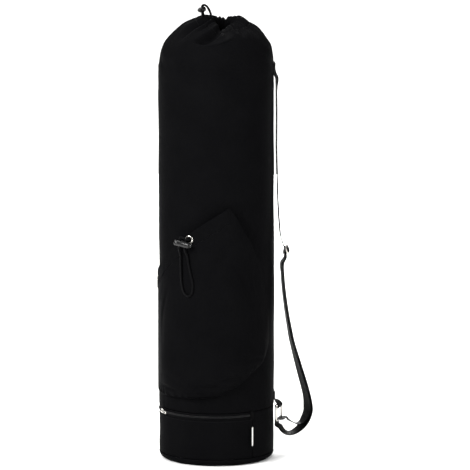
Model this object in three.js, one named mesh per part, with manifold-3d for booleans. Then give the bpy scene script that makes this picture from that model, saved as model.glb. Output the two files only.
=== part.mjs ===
// Yoga mat bag: a round drawstring bag that stands on its zipped base compartment.
// Millimetres, +Z up, the front faces -Y, +X is to the right, the origin is the middle of the base.

import * as THREE from "three";
import { mergeVertices } from "three/addons/utils/BufferGeometryUtils.js";
import Module from "manifold-3d";

const wasm = await Module();
wasm.setup();

// Sides of the round pieces
const bodySides = 52;
const bottomSides = 34;
const roundSides = 20;
const lockSides = 14;

// Main sizes of the bag
const bodyRadius = 90;
const clothWall = 2;
const baseHeight = 84;
const zipGapHeight = 10;
const baseCornerHeight = 10.5;
const domeStart = 620;
const clearance = 0.3;
const overlap = 0.01;

// Gathered mouth
const mouthRadius = 41;
const mouthShift = new THREE.Vector2(10, -3);
const mouthLowZ = 683;
const mouthRise = 14;
const domeLean = 0.8;
const foldDepth = 7;
const hemWall = 2.6;
const hemReach = 23;
const hemRise = 6;

// Draped front pocket, its places along the cloth measured round the body from the front
const pocketLeftAngle = -92;
const pocketRightAngle = 64;
const pocketBottom = 105;
const pocketTop = 411;
const pocketDepth = 16;
const pocketWall = 1.4;
const pocketHemWall = 2.8;
const pocketHemDrop = 26;
const pocketPeakShare = 0.666;

// Zips
const tapeWall = 0.9;
const coilWidth = 3.4;
const coilHeight = 1.2;
const sliderLength = 9;
const sliderWidth = 7.4;
const sliderPlate = 1.1;
const bridgeLength = 6.4;
const bridgeWall = 0.8;
const bridgeWidth = 1.6;
const bridgeHeight = 3.8;
const bridgeBevel = 0.6;
const pullerLength = 15.5;
const pullerWidth = 4.6;
const pullerWall = 1.2;
const pullerPin = 1.1;
const pullerEye = 2.6;
const baseZipStart = -90;
const baseZipEnd = 39.5;
const baseSliderAngle = -66;
const sideZipAngle = -104;
const sideZipTapeWidth = 15;
const sideZipBottom = 112;
const sideZipTop = 288;
const sideSliderZ = 279;

// Webbing, its adjuster and its ring
const webbingWidth = 25;
const webbingWall = 1.4;
const strapTop = 613;
const strapDrop = 579;
const strapBow = 54.4;
const strapY = 8;
const adjusterPitch = 6.8;
const adjusterBar = 2.4;
const adjusterTilt = 16;
const ringWire = 3;
const ringYaw = 75;
const ringHalfWidth = 16;
const ringHalfHeight = 11;
const ringStandoff = 8;
const ringCorner = 3;
const ringZ = 67.5;

// Drawcords and their locks
const cordDiameter = 3.4;
const eyeletHole = 7.6;
const eyeletRim = 13.4;
const eyeletWall = 0.9;
const lockRadius = 4.7;
const lockLength = 27;
const topLockRadius = 4.3;
const topLockLength = 14;
const plungerRadius = 2.8;
const plungerOut = 3.6;
const plungerTravel = 2.2;
const plungerEdge = 0.9;

// Side label in the seam of the base
const labelHeight = 29;
const labelWidth = 8;
const labelWall = 0.8;
const labelBottom = 31;
const labelAngle = 39;
const labelTilt = 42;

// Half profile of the dome: up is the share of the dome's height, out the share of the body's radius
const domeProfile = [
  { up: 0, out: 0.998 },
  { up: 0.17, out: 0.985 },
  { up: 0.29, out: 0.971 },
  { up: 0.4, out: 0.945 },
  { up: 0.513, out: 0.903 },
  { up: 0.6, out: 0.855 },
  { up: 0.68, out: 0.806 },
  { up: 0.76, out: 0.75 },
  { up: 0.84, out: 0.68 },
  { up: 0.92, out: 0.594 },
  { up: 0.965, out: 0.525 },
];

// Height of the gathered mouth round the bag: rise is a share of mouthRise, hem a share of hemRise
const mouthSections = [
  { angle: 0, rise: 0, hem: 0.75 },
  { angle: 45, rise: 0.15, hem: 1 },
  { angle: 90, rise: 0.43, hem: 1.8 },
  { angle: 135, rise: 0.5, hem: 1.3 },
  { angle: 180, rise: 0.5, hem: 0.8 },
  { angle: 225, rise: 0.8, hem: 0.8 },
  { angle: 270, rise: 1, hem: 0.8 },
  { angle: 315, rise: 0.45, hem: 0.85 },
];

// Pleats that run from the mouth down the dome: width in degrees, depth a share of foldDepth, from a share of
// the dome's height below which the pleat has run out
const folds = [
  { angle: -8, width: 34, depth: 0.45, from: 0.62 },
  { angle: -18, width: 14, depth: 1.25, from: 0.58 },
  { angle: -60, width: 13, depth: 0.95, from: 0.56 },
  { angle: 6, width: 9, depth: 0.35, from: 0.8 },
  { angle: 14, width: 11, depth: 0.5, from: 0.8 },
  { angle: 40, width: 12, depth: 0.55, from: 0.78 },
  { angle: 66, width: 11, depth: 0.5, from: 0.7 },
  { angle: 92, width: 12, depth: 0.6, from: 0.72 },
  { angle: 118, width: 11, depth: 0.75, from: 0.58 },
  { angle: 144, width: 12, depth: 0.6, from: 0.7 },
  { angle: 170, width: 12, depth: 0.85, from: 0.5 },
  { angle: 197, width: 11, depth: 0.6, from: 0.68 },
  { angle: 222, width: 12, depth: 0.8, from: 0.55 },
  { angle: 246, width: 11, depth: 0.55, from: 0.7 },
  { angle: 270, width: 11, depth: 0.6, from: 0.66 },
];

// Outline of the pocket: across is the share from its left to its right edge, bottom and top are shares of
// its height, lift the share of pocketDepth by which its top edge stands off, belly that of its middle
const pocketSections = [
  { across: 0, bottom: 0.02, top: 0.605, lift: 0, belly: 0 },
  { across: 0.104, bottom: 0.006, top: 0.659, lift: 0.03, belly: 0.06 },
  { across: 0.178, bottom: 0.003, top: 0.694, lift: 0.1, belly: 0.25 },
  { across: 0.246, bottom: 0.002, top: 0.743, lift: 0.2, belly: 0.48 },
  { across: 0.315, bottom: 0.003, top: 0.791, lift: 0.32, belly: 0.7 },
  { across: 0.38, bottom: 0.005, top: 0.831, lift: 0.42, belly: 0.85 },
  { across: 0.455, bottom: 0.008, top: 0.878, lift: 0.5, belly: 1 },
  { across: 0.547, bottom: 0.017, top: 0.935, lift: 0.58, belly: 1 },
  { across: 0.61, bottom: 0.028, top: 0.969, lift: 0.62, belly: 1 },
  { across: 0.666, bottom: 0.05, top: 1, lift: 0.62, belly: 0.98 },
  { across: 0.707, bottom: 0.064, top: 0.95, lift: 0.6, belly: 0.95 },
  { across: 0.755, bottom: 0.092, top: 0.876, lift: 0.48, belly: 0.88 },
  { across: 0.817, bottom: 0.132, top: 0.804, lift: 0.27, belly: 0.72 },
  { across: 0.847, bottom: 0.146, top: 0.752, lift: 0.17, belly: 0.6 },
  { across: 0.897, bottom: 0.17, top: 0.698, lift: 0.08, belly: 0.42 },
  { across: 0.938, bottom: 0.205, top: 0.583, lift: 0.03, belly: 0.24 },
  { across: 1, bottom: 0.289, top: 0.474, lift: 0, belly: 0 },
];

// How the pocket swells from its bottom seam to its mouth: full is the share of the column's belly
const pocketSwell = [
  { up: 0, full: 0 },
  { up: 0.012, full: 0.42 },
  { up: 0.035, full: 0.72 },
  { up: 0.08, full: 0.92 },
  { up: 0.16, full: 1 },
  { up: 0.3, full: 0.94 },
  { up: 0.48, full: 0.82 },
  { up: 0.66, full: 0.7 },
  { up: 0.82, full: 0.62 },
  { up: 0.93, full: 0.58 },
];

// The single strap down to the adjuster: drop is a share of strapDrop, out a share of strapBow, turn the
// twist of the webbing in degrees from edge on
const strapUpperRows = [
  { drop: -0.02, out: 0.0118, turn: 5 },
  { drop: -0.002, out: 0.0125, turn: 5 },
  { drop: 0.008, out: 0.031, turn: 8 },
  { drop: 0.017, out: 0.056, turn: 14 },
  { drop: 0.028, out: 0.08, turn: 10 },
  { drop: 0.039, out: 0.0735, turn: 6.5 },
  { drop: 0.0555, out: 0.069, turn: 3 },
  { drop: 0.085, out: 0.07, turn: 2 },
  { drop: 0.111, out: 0.073, turn: 1.5 },
  { drop: 0.166, out: 0.072, turn: 1.5 },
  { drop: 0.221, out: 0.072, turn: 1.5 },
  { drop: 0.275, out: 0.085, turn: 1.5 },
  { drop: 0.33, out: 0.103, turn: 1.5 },
  { drop: 0.372, out: 0.12, turn: 2 },
  { drop: 0.4, out: 0.137, turn: 2 },
  { drop: 0.427, out: 0.16, turn: 2 },
  { drop: 0.454, out: 0.19, turn: 2 },
];

// Middle line of the doubled strap below the adjuster, with the same columns and the half gap of its layers
const strapDoubleRows = [
  { drop: 0.527, out: 0.25, turn: 5, half: 1.25 },
  { drop: 0.563, out: 0.251, turn: 5.5, half: 1.35 },
  { drop: 0.604, out: 0.287, turn: 6, half: 1.4 },
  { drop: 0.64, out: 0.334, turn: 7, half: 1.4 },
  { drop: 0.673, out: 0.384, turn: 8, half: 1.4 },
  { drop: 0.707, out: 0.447, turn: 10, half: 1.4 },
  { drop: 0.742, out: 0.516, turn: 12, half: 1.4 },
  { drop: 0.77, out: 0.593, turn: 14.5, half: 1.4 },
  { drop: 0.796, out: 0.669, turn: 17.5, half: 1.4 },
  { drop: 0.825, out: 0.755, turn: 20, half: 1.4 },
  { drop: 0.851, out: 0.834, turn: 22, half: 1.4 },
  { drop: 0.879, out: 0.916, turn: 23, half: 1.4 },
  { drop: 0.9, out: 0.966, turn: 24, half: 1.4 },
  { drop: 0.918, out: 0.99, turn: 27, half: 1.4 },
  { drop: 0.934, out: 0.994, turn: 29, half: 1.4 },
];

// Outer layer from the strap's widest place round the bottom bend, lean is the tilt of the webbing in degrees
const strapBendRows = [
  { drop: 0.948, out: 0.982, turn: 28, lean: -5 },
  { drop: 0.962, out: 0.925, turn: 24, lean: -9 },
  { drop: 0.975, out: 0.84, turn: 18, lean: -11 },
  { drop: 0.987, out: 0.72, turn: 11, lean: -11 },
  { drop: 0.996, out: 0.58, turn: 5, lean: -8 },
  { drop: 1, out: 0.45, turn: -1, lean: -4 },
  { drop: 0.998, out: 0.35, turn: -7, lean: -1 },
  { drop: 0.991, out: 0.26, turn: -12, lean: 1 },
  { drop: 0.981, out: 0.18, turn: -15, lean: 1 },
];

// Inner layer from the ring back to the doubled stretch
const strapReturnRows = [
  { drop: 0.956, out: 0.345, turn: -8, lean: 5 },
  { drop: 0.962, out: 0.43, turn: -3, lean: 8 },
  { drop: 0.969, out: 0.55, turn: 3, lean: 9 },
  { drop: 0.973, out: 0.65, turn: 9, lean: 7 },
  { drop: 0.97, out: 0.76, turn: 15, lean: 4 },
  { drop: 0.959, out: 0.865, turn: 20, lean: 1 },
  { drop: 0.946, out: 0.935, turn: 24, lean: 0 },
];

// Cord routes, chosen by hand
const pocketCordPoints = [
  [-41, -83.9, 360.6], [-42.7, -87.7, 360.6], [-44.4, -91.4, 360.6], [-47.1, -93.5, 361.5],
  [-50.2, -93.4, 363.2], [-53.4, -91.6, 364.2], [-56, -90, 363.5], [-56, -88.8, 361],
  [-57, -88.7, 354.5], [-57.9, -88.7, 348.3], [-55.4, -84, 333.4], [-55.2, -84.4, 324],
  [-54.9, -85, 314.5], [-54.6, -85.8, 303.6], [-54, -86.9, 292.6], [-52.1, -88.9, 282.7],
  [-48.4, -92, 274.8], [-43.2, -95.4, 272.2], [-38.5, -97.7, 276.7], [-36.6, -98, 285.8],
  [-37.2, -97.2, 295.2], [-39.3, -95.6, 304.5], [-41.8, -93.6, 315.3], [-43.7, -92.2, 325.3],
  [-44.9, -91.2, 333.9], [-49.2, -93.6, 347], [-48.3, -93.6, 353.1], [-47.6, -93.7, 357.4],
  [-47.3, -94, 359.6], [-46.6, -95.9, 361.9], [-43.5, -96.5, 361.9], [-41.5, -93.8, 360.7],
  [-39.4, -89.2, 360.6], [-37.6, -85.5, 360.6],
];
const topCordPoints = [
  [-21.2, -12.4, 694.5], [-21.6, -12.7, 699], [-22, -12.9, 704], [-22.15, -13, 709.5], [-22.3, -13, 714],
  [-20.8, -13, 716.6], [-18, -13.2, 717], [-14.8, -13.5, 715.2], [-11.8, -14, 710.4], [-9.5, -14.3, 705.6],
  [-8.3, -13.6, 702], [-8, -11.2, 700.5], [-8.3, -8.4, 701.4], [-9.4, -6.9, 704.8], [-11.4, -6.8, 709.4],
  [-13.8, -7.4, 713], [-16.2, -8.4, 715.6], [-19.3, -9.2, 716.6], [-20.75, -10.1, 715], [-20.7, -10.15, 709.5],
  [-20.3, -10.2, 704.5], [-19.6, -10.3, 699.5], [-18.9, -10.3, 694.8],
];

// Finishes
const finish = (color, roughness, metalness = 0) =>
  new THREE.MeshStandardMaterial({ color, roughness, metalness });
const polyesterFinish = finish(0x1b1b1c, 0.85);
const webbingFinish = finish(0x161617, 0.75);
const cordFinish = finish(0x19191a, 0.8);
const zipFinish = finish(0x222223, 0.55);
const lockFinish = finish(0x2c2c2e, 0.4);
const nickelFinish = finish(0xc9cacc, 0.22, 1);
const labelFinish = finish(0xe8e8e6, 0.7);

const radians = THREE.MathUtils.degToRad;

// A point on the cylinder of the given radius, the angle in degrees to the right of the front
function around(angle, radius, z) {
  const turn = radians(angle);
  return new THREE.Vector3(radius * Math.sin(turn), -radius * Math.cos(turn), z);
}

// Outward and tangent directions at that angle
const outwardAt = (angle) => around(angle, 1, 0);
const tangentAt = (angle) => new THREE.Vector3(Math.cos(radians(angle)), Math.sin(radians(angle)), 0);

// Straight interpolation in a table of rows
function lookUp(rows, keyName, valueName, key) {
  const last = rows.length - 1;
  if (key <= rows[0][keyName]) return rows[0][valueName];
  for (let i = 0; i < last; i += 1) {
    const low = rows[i];
    const high = rows[i + 1];
    if (key <= high[keyName]) {
      const share = (key - low[keyName]) / (high[keyName] - low[keyName]);
      return THREE.MathUtils.lerp(low[valueName], high[valueName], share);
    }
  }
  return rows[last][valueName];
}

// Smooth interpolation in a table that closes on itself after a full turn
function lookUpTurn(rows, valueName, angle) {
  const full = ((angle % 360) + 360) % 360;
  const step = 360 / rows.length;
  const index = Math.floor(full / step) % rows.length;
  const share = THREE.MathUtils.smoothstep(full / step - index, 0, 1);
  return THREE.MathUtils.lerp(rows[index][valueName], rows[(index + 1) % rows.length][valueName], share);
}

function signedVolume(positions, index) {
  const a = new THREE.Vector3();
  const b = new THREE.Vector3();
  const c = new THREE.Vector3();
  let volume = 0;
  for (let i = 0; i < index.length; i += 3) {
    a.fromArray(positions, 3 * index[i]);
    b.fromArray(positions, 3 * index[i + 1]);
    c.fromArray(positions, 3 * index[i + 2]);
    volume += a.dot(b.cross(c)) / 6;
  }
  return volume;
}

// A closed skin over a row of closed outlines with as many points each, capped at both ends or joined up
function skin(outlines, closed = false) {
  const count = outlines[0].length;
  const positions = outlines.flat().flatMap((point) => point.toArray());
  const index = [];
  const quad = (a, b, c, d) => index.push(a, b, c, a, c, d);
  const rows = closed ? outlines.length : outlines.length - 1;
  for (let i = 0; i < rows; i += 1) {
    const next = (i + 1) % outlines.length;
    for (let j = 0; j < count; j += 1) {
      const side = (j + 1) % count;
      quad(i * count + j, i * count + side, next * count + side, next * count + j);
    }
  }
  if (!closed) {
    const end = (outlines.length - 1) * count;
    for (let j = 0; j < count / 2 - 1; j += 1) {
      quad(j, count - 1 - j, count - 2 - j, j + 1);
      quad(end + j, end + j + 1, end + count - 2 - j, end + count - 1 - j);
    }
  }
  if (signedVolume(positions, index) < 0) index.reverse();
  const geometry = new THREE.BufferGeometry();
  geometry.setAttribute("position", new THREE.Float32BufferAttribute(positions, 3));
  geometry.setIndex(index);
  return geometry;
}

// A line and its copy set back by the wall, as one closed outline in the plane of the line
function walledOutline(line, wall) {
  const back = line.map((point, i) => {
    const before = line[Math.max(i - 1, 0)];
    const after = line[Math.min(i + 1, line.length - 1)];
    const along = new THREE.Vector2().subVectors(after, before).normalize();
    return new THREE.Vector2(point.x - along.y * wall, point.y + along.x * wall);
  });
  return [...line, ...back.reverse()];
}

// Solids for cutting and joining
function toSolid(geometry) {
  const merged = mergeVertices(bareCopy(geometry), 1e-4);
  const vertProperties = new Float32Array(merged.attributes.position.array);
  const triVerts = new Uint32Array(merged.index.array);
  return new wasm.Manifold(new wasm.Mesh({ numProp: 3, vertProperties, triVerts }));
}

function fromSolid(solid) {
  const mesh = solid.getMesh();
  const geometry = new THREE.BufferGeometry();
  geometry.setAttribute("position", new THREE.Float32BufferAttribute(Array.from(mesh.vertProperties), 3));
  geometry.setIndex(Array.from(mesh.triVerts));
  return geometry;
}

function cut(geometry, ...tools) {
  return fromSolid(tools.reduce((solid, tool) => solid.subtract(toSolid(tool)), toSolid(geometry)));
}

function join(geometry, ...others) {
  return fromSolid(others.reduce((solid, other) => solid.add(toSolid(other)), toSolid(geometry)));
}

// Puts a geometry with its own x, y and z directions at a place
function place(geometry, x, y, z, at) {
  return geometry.applyMatrix4(new THREE.Matrix4().makeBasis(x, y, z).setPosition(at));
}

// Flat plate with rounded corners and round-edged slots, its thickness along z about zero
function plate(width, height, thickness, corner, bevel, holes = []) {
  const outline = roundedRectangle(width - 2 * bevel, height - 2 * bevel, corner - bevel, 0);
  holes.forEach((hole) => outline.holes.push(
    roundedRectangle(hole.width + 2 * bevel, hole.height + 2 * bevel, hole.corner + bevel, hole.y)));
  const geometry = new THREE.ExtrudeGeometry(outline, {
    depth: thickness - 2 * bevel,
    bevelEnabled: bevel > 0,
    bevelThickness: bevel,
    bevelSize: bevel,
    bevelSegments: 1,
    curveSegments: 2,
  });
  return geometry.translate(0, 0, bevel - thickness / 2);
}

function roundedRectangle(width, height, corner, y) {
  const shape = new THREE.Shape();
  const half = width / 2;
  const low = y - height / 2;
  const high = y + height / 2;
  shape.moveTo(-half + corner, low);
  shape.lineTo(half - corner, low);
  shape.absarc(half - corner, low + corner, corner, -Math.PI / 2, 0);
  shape.lineTo(half, high - corner);
  shape.absarc(half - corner, high - corner, corner, 0, Math.PI / 2);
  shape.lineTo(-half + corner, high);
  shape.absarc(-half + corner, high - corner, corner, Math.PI / 2, Math.PI);
  shape.lineTo(-half, low + corner);
  shape.absarc(-half + corner, low + corner, corner, Math.PI, 1.5 * Math.PI);
  return shape;
}

// Solid of revolution about its own z axis, from a half profile of [radius, height] pairs
function turned(profile, sides) {
  const points = profile.map(([radius, height]) => new THREE.Vector2(radius, height));
  const geometry = new THREE.LatheGeometry(points, sides).rotateX(Math.PI / 2);
  const merged = mergeVertices(bareCopy(geometry), 1e-4);
  const index = solidTriangles(merged);
  if (signedVolume(merged.attributes.position.array, index) < 0) index.reverse();
  merged.setIndex(index);
  return merged;
}

function bareCopy(geometry) {
  const bare = geometry.clone();
  bare.deleteAttribute("normal");
  bare.deleteAttribute("uv");
  return bare;
}

// The triangles of a geometry without those that have shrunk to a line on the axis
function solidTriangles(geometry) {
  const index = Array.from(geometry.index.array);
  const kept = [];
  for (let i = 0; i < index.length; i += 3) {
    const [a, b, c] = index.slice(i, i + 3);
    if (a !== b && b !== c && c !== a) kept.push(a, b, c);
  }
  return kept;
}

function roundBar(radius, length, sides = 16) {
  return new THREE.CylinderGeometry(radius, radius, length, sides);
}

const group = new THREE.Group();
function add(name, geometry, material) {
  const mesh = new THREE.Mesh(geometry, material);
  mesh.name = name;
  group.add(mesh);
  return mesh;
}

// Main body: straight tube, then a dome that is pleated towards the mouth
const bodyBottom = baseHeight + clearance;

function foldAt(angle, up) {
  return folds.reduce((sum, fold) => {
    const away = THREE.MathUtils.euclideanModulo(angle - fold.angle + 180, 360) - 180;
    if (Math.abs(away) >= fold.width) return sum;
    const across = 0.5 + 0.5 * Math.cos((Math.PI * away) / fold.width);
    return sum + foldDepth * fold.depth * across * THREE.MathUtils.smoothstep(up, fold.from, 1);
  }, 0);
}

// Radius and height of the body's outside at an angle, with the dome's middle leaning towards the mouth
function domePoint(angle, up) {
  const neckZ = mouthLowZ + mouthRise * lookUpTurn(mouthSections, "rise", angle);
  const neck = domeProfile[domeProfile.length - 1];
  const out = up >= neck.up
    ? THREE.MathUtils.mapLinear(up, neck.up, 1, neck.out, mouthRadius / bodyRadius)
    : lookUp(domeProfile, "up", "out", up);
  return new THREE.Vector2(bodyRadius * out, domeStart + up * (neckZ - domeStart));
}

function domeMiddle(up) {
  const lean = domeLean * Math.sin(Math.PI * up);
  return new THREE.Vector2(mouthShift.x * up ** 3 + lean, mouthShift.y * up ** 3);
}

function bodyLine(angle) {
  const straight = [bodyBottom, 0.5 * (bodyBottom + domeStart)].map((z) => new THREE.Vector2(bodyRadius, z));
  const ups = [...domeProfile.map((row) => row.up), 1];
  const smooth = ups.map((up) => domePoint(angle, up));
  const dome = smooth.map((point, i) => {
    const before = smooth[Math.max(i - 1, 0)];
    const after = smooth[Math.min(i + 1, smooth.length - 1)];
    const along = new THREE.Vector2().subVectors(after, before).normalize();
    const depth = foldAt(angle, ups[i]);
    return new THREE.Vector2(point.x - along.y * depth, point.y + along.x * depth);
  });
  return { points: [...straight, ...dome], ups: [...straight.map(() => 0), ...ups] };
}

function turnInto(outline, ups, angle) {
  const turn = radians(angle);
  return outline.map((point, i) => {
    const middle = domeMiddle(ups[i]);
    const out = new THREE.Vector2(Math.sin(turn), -Math.cos(turn)).multiplyScalar(point.x).add(middle);
    return new THREE.Vector3(out.x, out.y, point.y);
  });
}

const sideAngles = Array.from({ length: bodySides }, (_, i) => (i * 360) / bodySides);
const bodyOutlines = sideAngles.map((angle) => {
  const { points, ups } = bodyLine(angle);
  return turnInto(walledOutline(points, clothWall), [...ups, ...[...ups].reverse()], angle);
});
add("main_body", skin(bodyOutlines, true), polyesterFinish);

// Gathered hem: it goes on from the body's top edge, rises, and dips into the mouth
const hemProfile = [
  { in: 0.02, up: 0 },
  { in: 0.3, up: 0.62 },
  { in: 0.62, up: 1 },
  { in: 0.9, up: 0.8 },
  { in: 1, up: 0.1 },
];

function hemLine(angle) {
  const { points } = bodyLine(angle);
  const neck = points[points.length - 1];
  const rise = hemRise * lookUpTurn(mouthSections, "hem", angle);
  const puckers = 0.5 + 0.5 * Math.cos(radians(angle * 14));
  return hemProfile.map((row) => new THREE.Vector2(
    neck.x - clearance - row.in * hemReach + (row.in - 0.02) * foldAt(angle, 1) * 0.3,
    neck.y + row.up * rise * (0.72 + 0.28 * puckers) + clearance / 2));
}

const hemOutlines = sideAngles.map((angle) => {
  const outline = walledOutline(hemLine(angle), hemWall);
  return turnInto(outline, outline.map(() => 1), angle);
});
const cordHole = (from, to) => {
  const start = new THREE.Vector3(...from);
  const way = new THREE.Vector3(...to).sub(start).normalize();
  const side = new THREE.Vector3(1, 0, 0).addScaledVector(way, -way.x).normalize();
  const bar = roundBar(cordDiameter / 2 + clearance, 6 * hemWall, 12);
  return place(bar, side, way, new THREE.Vector3().crossVectors(side, way), start);
};
const cordHoles = [
  cordHole(topCordPoints[0], topCordPoints[1]),
  cordHole(topCordPoints[topCordPoints.length - 1], topCordPoints[topCordPoints.length - 2]),
];
add("gathered_hem", cut(skin(hemOutlines, true), ...cordHoles), polyesterFinish);

// Cloth of the base compartment
function ringBand(startAngle, endAngle, innerRadius, outerRadius, low, high, stepAngle) {
  const steps = Math.ceil((endAngle - startAngle) / stepAngle);
  const outlines = Array.from({ length: steps + 1 }, (_, i) => {
    const angle = startAngle + ((endAngle - startAngle) * i) / steps;
    return [
      around(angle, outerRadius, low),
      around(angle, outerRadius, high),
      around(angle, innerRadius, high),
      around(angle, innerRadius, low),
    ];
  });
  return skin(outlines);
}

const gapAngle = THREE.MathUtils.radToDeg(clearance / bodyRadius);
const baseInner = bodyRadius - clothWall;
add("base_front_panel", ringBand(baseZipStart + gapAngle, baseZipEnd - gapAngle, baseInner, bodyRadius,
  baseCornerHeight + clearance, baseHeight - zipGapHeight, 5), polyesterFinish);
add("base_back_panel", ringBand(baseZipEnd, baseZipStart + 360, baseInner, bodyRadius,
  baseCornerHeight + clearance, baseHeight, 5), polyesterFinish);

// Bottom: a flat round of cloth whose rim turns up in a soft corner
const bottomProfile = [];
const cornerSteps = 5;
for (let i = 0; i <= cornerSteps; i += 1) {
  const turn = (i / cornerSteps) * (Math.PI / 2);
  bottomProfile.push([
    bodyRadius - baseCornerHeight * (1 - Math.sin(turn)),
    baseCornerHeight * (1 - Math.cos(turn)),
  ]);
}
const bottomInside = bottomProfile.map(([radius, height], i) => {
  const turn = (i / cornerSteps) * (Math.PI / 2);
  return [radius - clothWall * Math.sin(turn), height + clothWall * Math.cos(turn)];
});
add("base_bottom", turned([[0, 0], ...bottomProfile, ...bottomInside.reverse(), [0, clothWall]], bottomSides),
  polyesterFinish);

const floorRadius = baseInner - clearance;
add("compartment_floor", turned([
  [0, bodyBottom], [floorRadius, bodyBottom],
  [floorRadius, bodyBottom + clothWall], [0, bodyBottom + clothWall],
], bottomSides), polyesterFinish);

// Zip of the base compartment, in the gap between the front panel and the body
const baseZipZ = baseHeight - zipGapHeight / 2;
const baseTapeOuter = bodyRadius - clearance;
add("base_zip_tape", ringBand(baseZipStart + gapAngle, baseZipEnd - gapAngle,
  baseTapeOuter - tapeWall, baseTapeOuter,
  baseHeight - zipGapHeight + clearance, baseHeight - clearance, 5), zipFinish);
const baseCoilInner = baseTapeOuter + clearance;
add("base_zip_coil", ringBand(baseZipStart + 2, baseZipEnd - 4.5, baseCoilInner, baseCoilInner + coilHeight,
  baseZipZ - coilWidth / 2, baseZipZ + coilWidth / 2, 5), zipFinish);

// Slider of a zip: a low waisted body with a bridge over its back, x along the zip, z away from the cloth
function sliderGeometry() {
  const body = new THREE.Shape();
  const half = sliderLength / 2;
  const wide = sliderWidth / 2;
  body.moveTo(-half, -wide * 0.62);
  body.lineTo(-half * 0.2, -wide * 0.8);
  body.lineTo(half, -wide);
  body.lineTo(half, wide);
  body.lineTo(-half * 0.2, wide * 0.8);
  body.lineTo(-half, wide * 0.62);
  const shell = new THREE.ExtrudeGeometry(body, { depth: sliderPlate, bevelEnabled: false });
  const bridgeLine = new THREE.Shape();
  const reach = bridgeLength / 2;
  bridgeLine.moveTo(-reach, sliderPlate - overlap);
  bridgeLine.lineTo(-reach, bridgeHeight - bridgeBevel);
  bridgeLine.lineTo(-reach + bridgeBevel, bridgeHeight);
  bridgeLine.lineTo(reach - bridgeBevel, bridgeHeight);
  bridgeLine.lineTo(reach, bridgeHeight - bridgeBevel);
  bridgeLine.lineTo(reach, sliderPlate - overlap);
  bridgeLine.lineTo(reach - bridgeWall, sliderPlate - overlap);
  bridgeLine.lineTo(reach - bridgeWall, bridgeHeight - bridgeWall);
  bridgeLine.lineTo(-reach + bridgeWall, bridgeHeight - bridgeWall);
  bridgeLine.lineTo(-reach + bridgeWall, sliderPlate - overlap);
  const bridge = new THREE.ExtrudeGeometry(bridgeLine, { depth: bridgeWidth, bevelEnabled: false });
  bridge.rotateX(Math.PI / 2).translate(0, bridgeWidth / 2, 0);
  return join(shell, bridge);
}

// Puller: a flat tongue with an eye round the bridge, x away from the hinge, its hinge along y
function pullerGeometry() {
  const eyeWidth = bridgeWidth + 2.6 * clearance;
  const tongue = plate(pullerLength, pullerWidth, pullerWall, pullerWidth / 2 - 0.2, 0.3);
  tongue.translate((pullerLength - pullerPin) / 2, 0, 0);
  const eye = new THREE.BoxGeometry(pullerEye, eyeWidth, 3 * pullerWall);
  eye.translate((pullerPin + pullerEye) / 2, 0, 0);
  return cut(tongue, eye);
}

// Seats a slider on a coil and hangs its puller on the bridge, far enough from its leg to swing
const pinShift = bridgeLength / 2 - bridgeWall - 2 * clearance - pullerPin / 2;
function zipSet(prefix, at, along, outward, pull) {
  const across = new THREE.Vector3().crossVectors(outward, along);
  add(`${prefix}_slider`, place(sliderGeometry(), along, across, outward, at), nickelFinish);
  const pinLift = bridgeHeight - bridgeWall - clearance - pullerWall / 2;
  const pin = at.clone().addScaledVector(outward, pinLift).addScaledVector(pull, pinShift);
  const side = new THREE.Vector3().crossVectors(outward, pull);
  add(`${prefix}_puller`, place(pullerGeometry(), pull, side, outward, pin), nickelFinish);
}

const baseCoilTop = baseCoilInner + coilHeight + clearance;
const sliderSag = sliderWidth ** 2 / (8 * bodyRadius);
zipSet("base_zip",
  around(baseSliderAngle, baseCoilTop + sliderSag, baseZipZ),
  tangentAt(baseSliderAngle).negate(),
  outwardAt(baseSliderAngle),
  tangentAt(baseSliderAngle));

add("base_zip_end_tab", ringBand(baseZipEnd - 4, baseZipEnd - gapAngle, bodyRadius + clearance,
  bodyRadius + clearance + 1.2, baseHeight - zipGapHeight - 1.5, baseHeight + 1.5, 4), webbingFinish);

// Upright zip at the pocket's left edge
const sideTapeHalf = THREE.MathUtils.radToDeg(sideZipTapeWidth / 2 / bodyRadius);
const sideTapeInner = bodyRadius + clearance;
add("side_zip_tape", ringBand(sideZipAngle - sideTapeHalf, sideZipAngle + sideTapeHalf, sideTapeInner,
  sideTapeInner + tapeWall, sideZipBottom, sideZipTop, 3.2), zipFinish);
const sideCoilInner = sideTapeInner + tapeWall + clearance;
const sideCoilHalf = THREE.MathUtils.radToDeg(coilWidth / 2 / bodyRadius);
add("side_zip_coil", ringBand(sideZipAngle - sideCoilHalf, sideZipAngle + sideCoilHalf, sideCoilInner,
  sideCoilInner + coilHeight, sideZipBottom + 2, sideZipTop - 2, 2), zipFinish);
zipSet("side_zip",
  around(sideZipAngle, sideCoilInner + coilHeight + clearance, sideSliderZ),
  new THREE.Vector3(0, 0, 1),
  outwardAt(sideZipAngle),
  new THREE.Vector3(0, 0, -1));

// Small plain label that stands out of the seam
const labelAway = tangentAt(labelAngle + 180 + labelTilt);
const labelFace = new THREE.Vector3().crossVectors(new THREE.Vector3(0, 0, 1), labelAway);
const labelFoot = around(labelAngle, bodyRadius + clearance + labelWall / 2, labelBottom + labelHeight / 2);
add("side_label", place(
  new THREE.BoxGeometry(labelWidth, labelHeight, labelWall).translate(labelWidth / 2, 0, 0),
  labelAway, new THREE.Vector3(0, 0, 1), labelFace.clone().negate(), labelFoot), labelFinish);

// Pocket: a draped sheet sewn to the body at its sides and bottom, open along its slanted top
const pocketHeight = pocketTop - pocketBottom;
const pocketTurn = pocketRightAngle - pocketLeftAngle;
const easeReach = 0.35;

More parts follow.
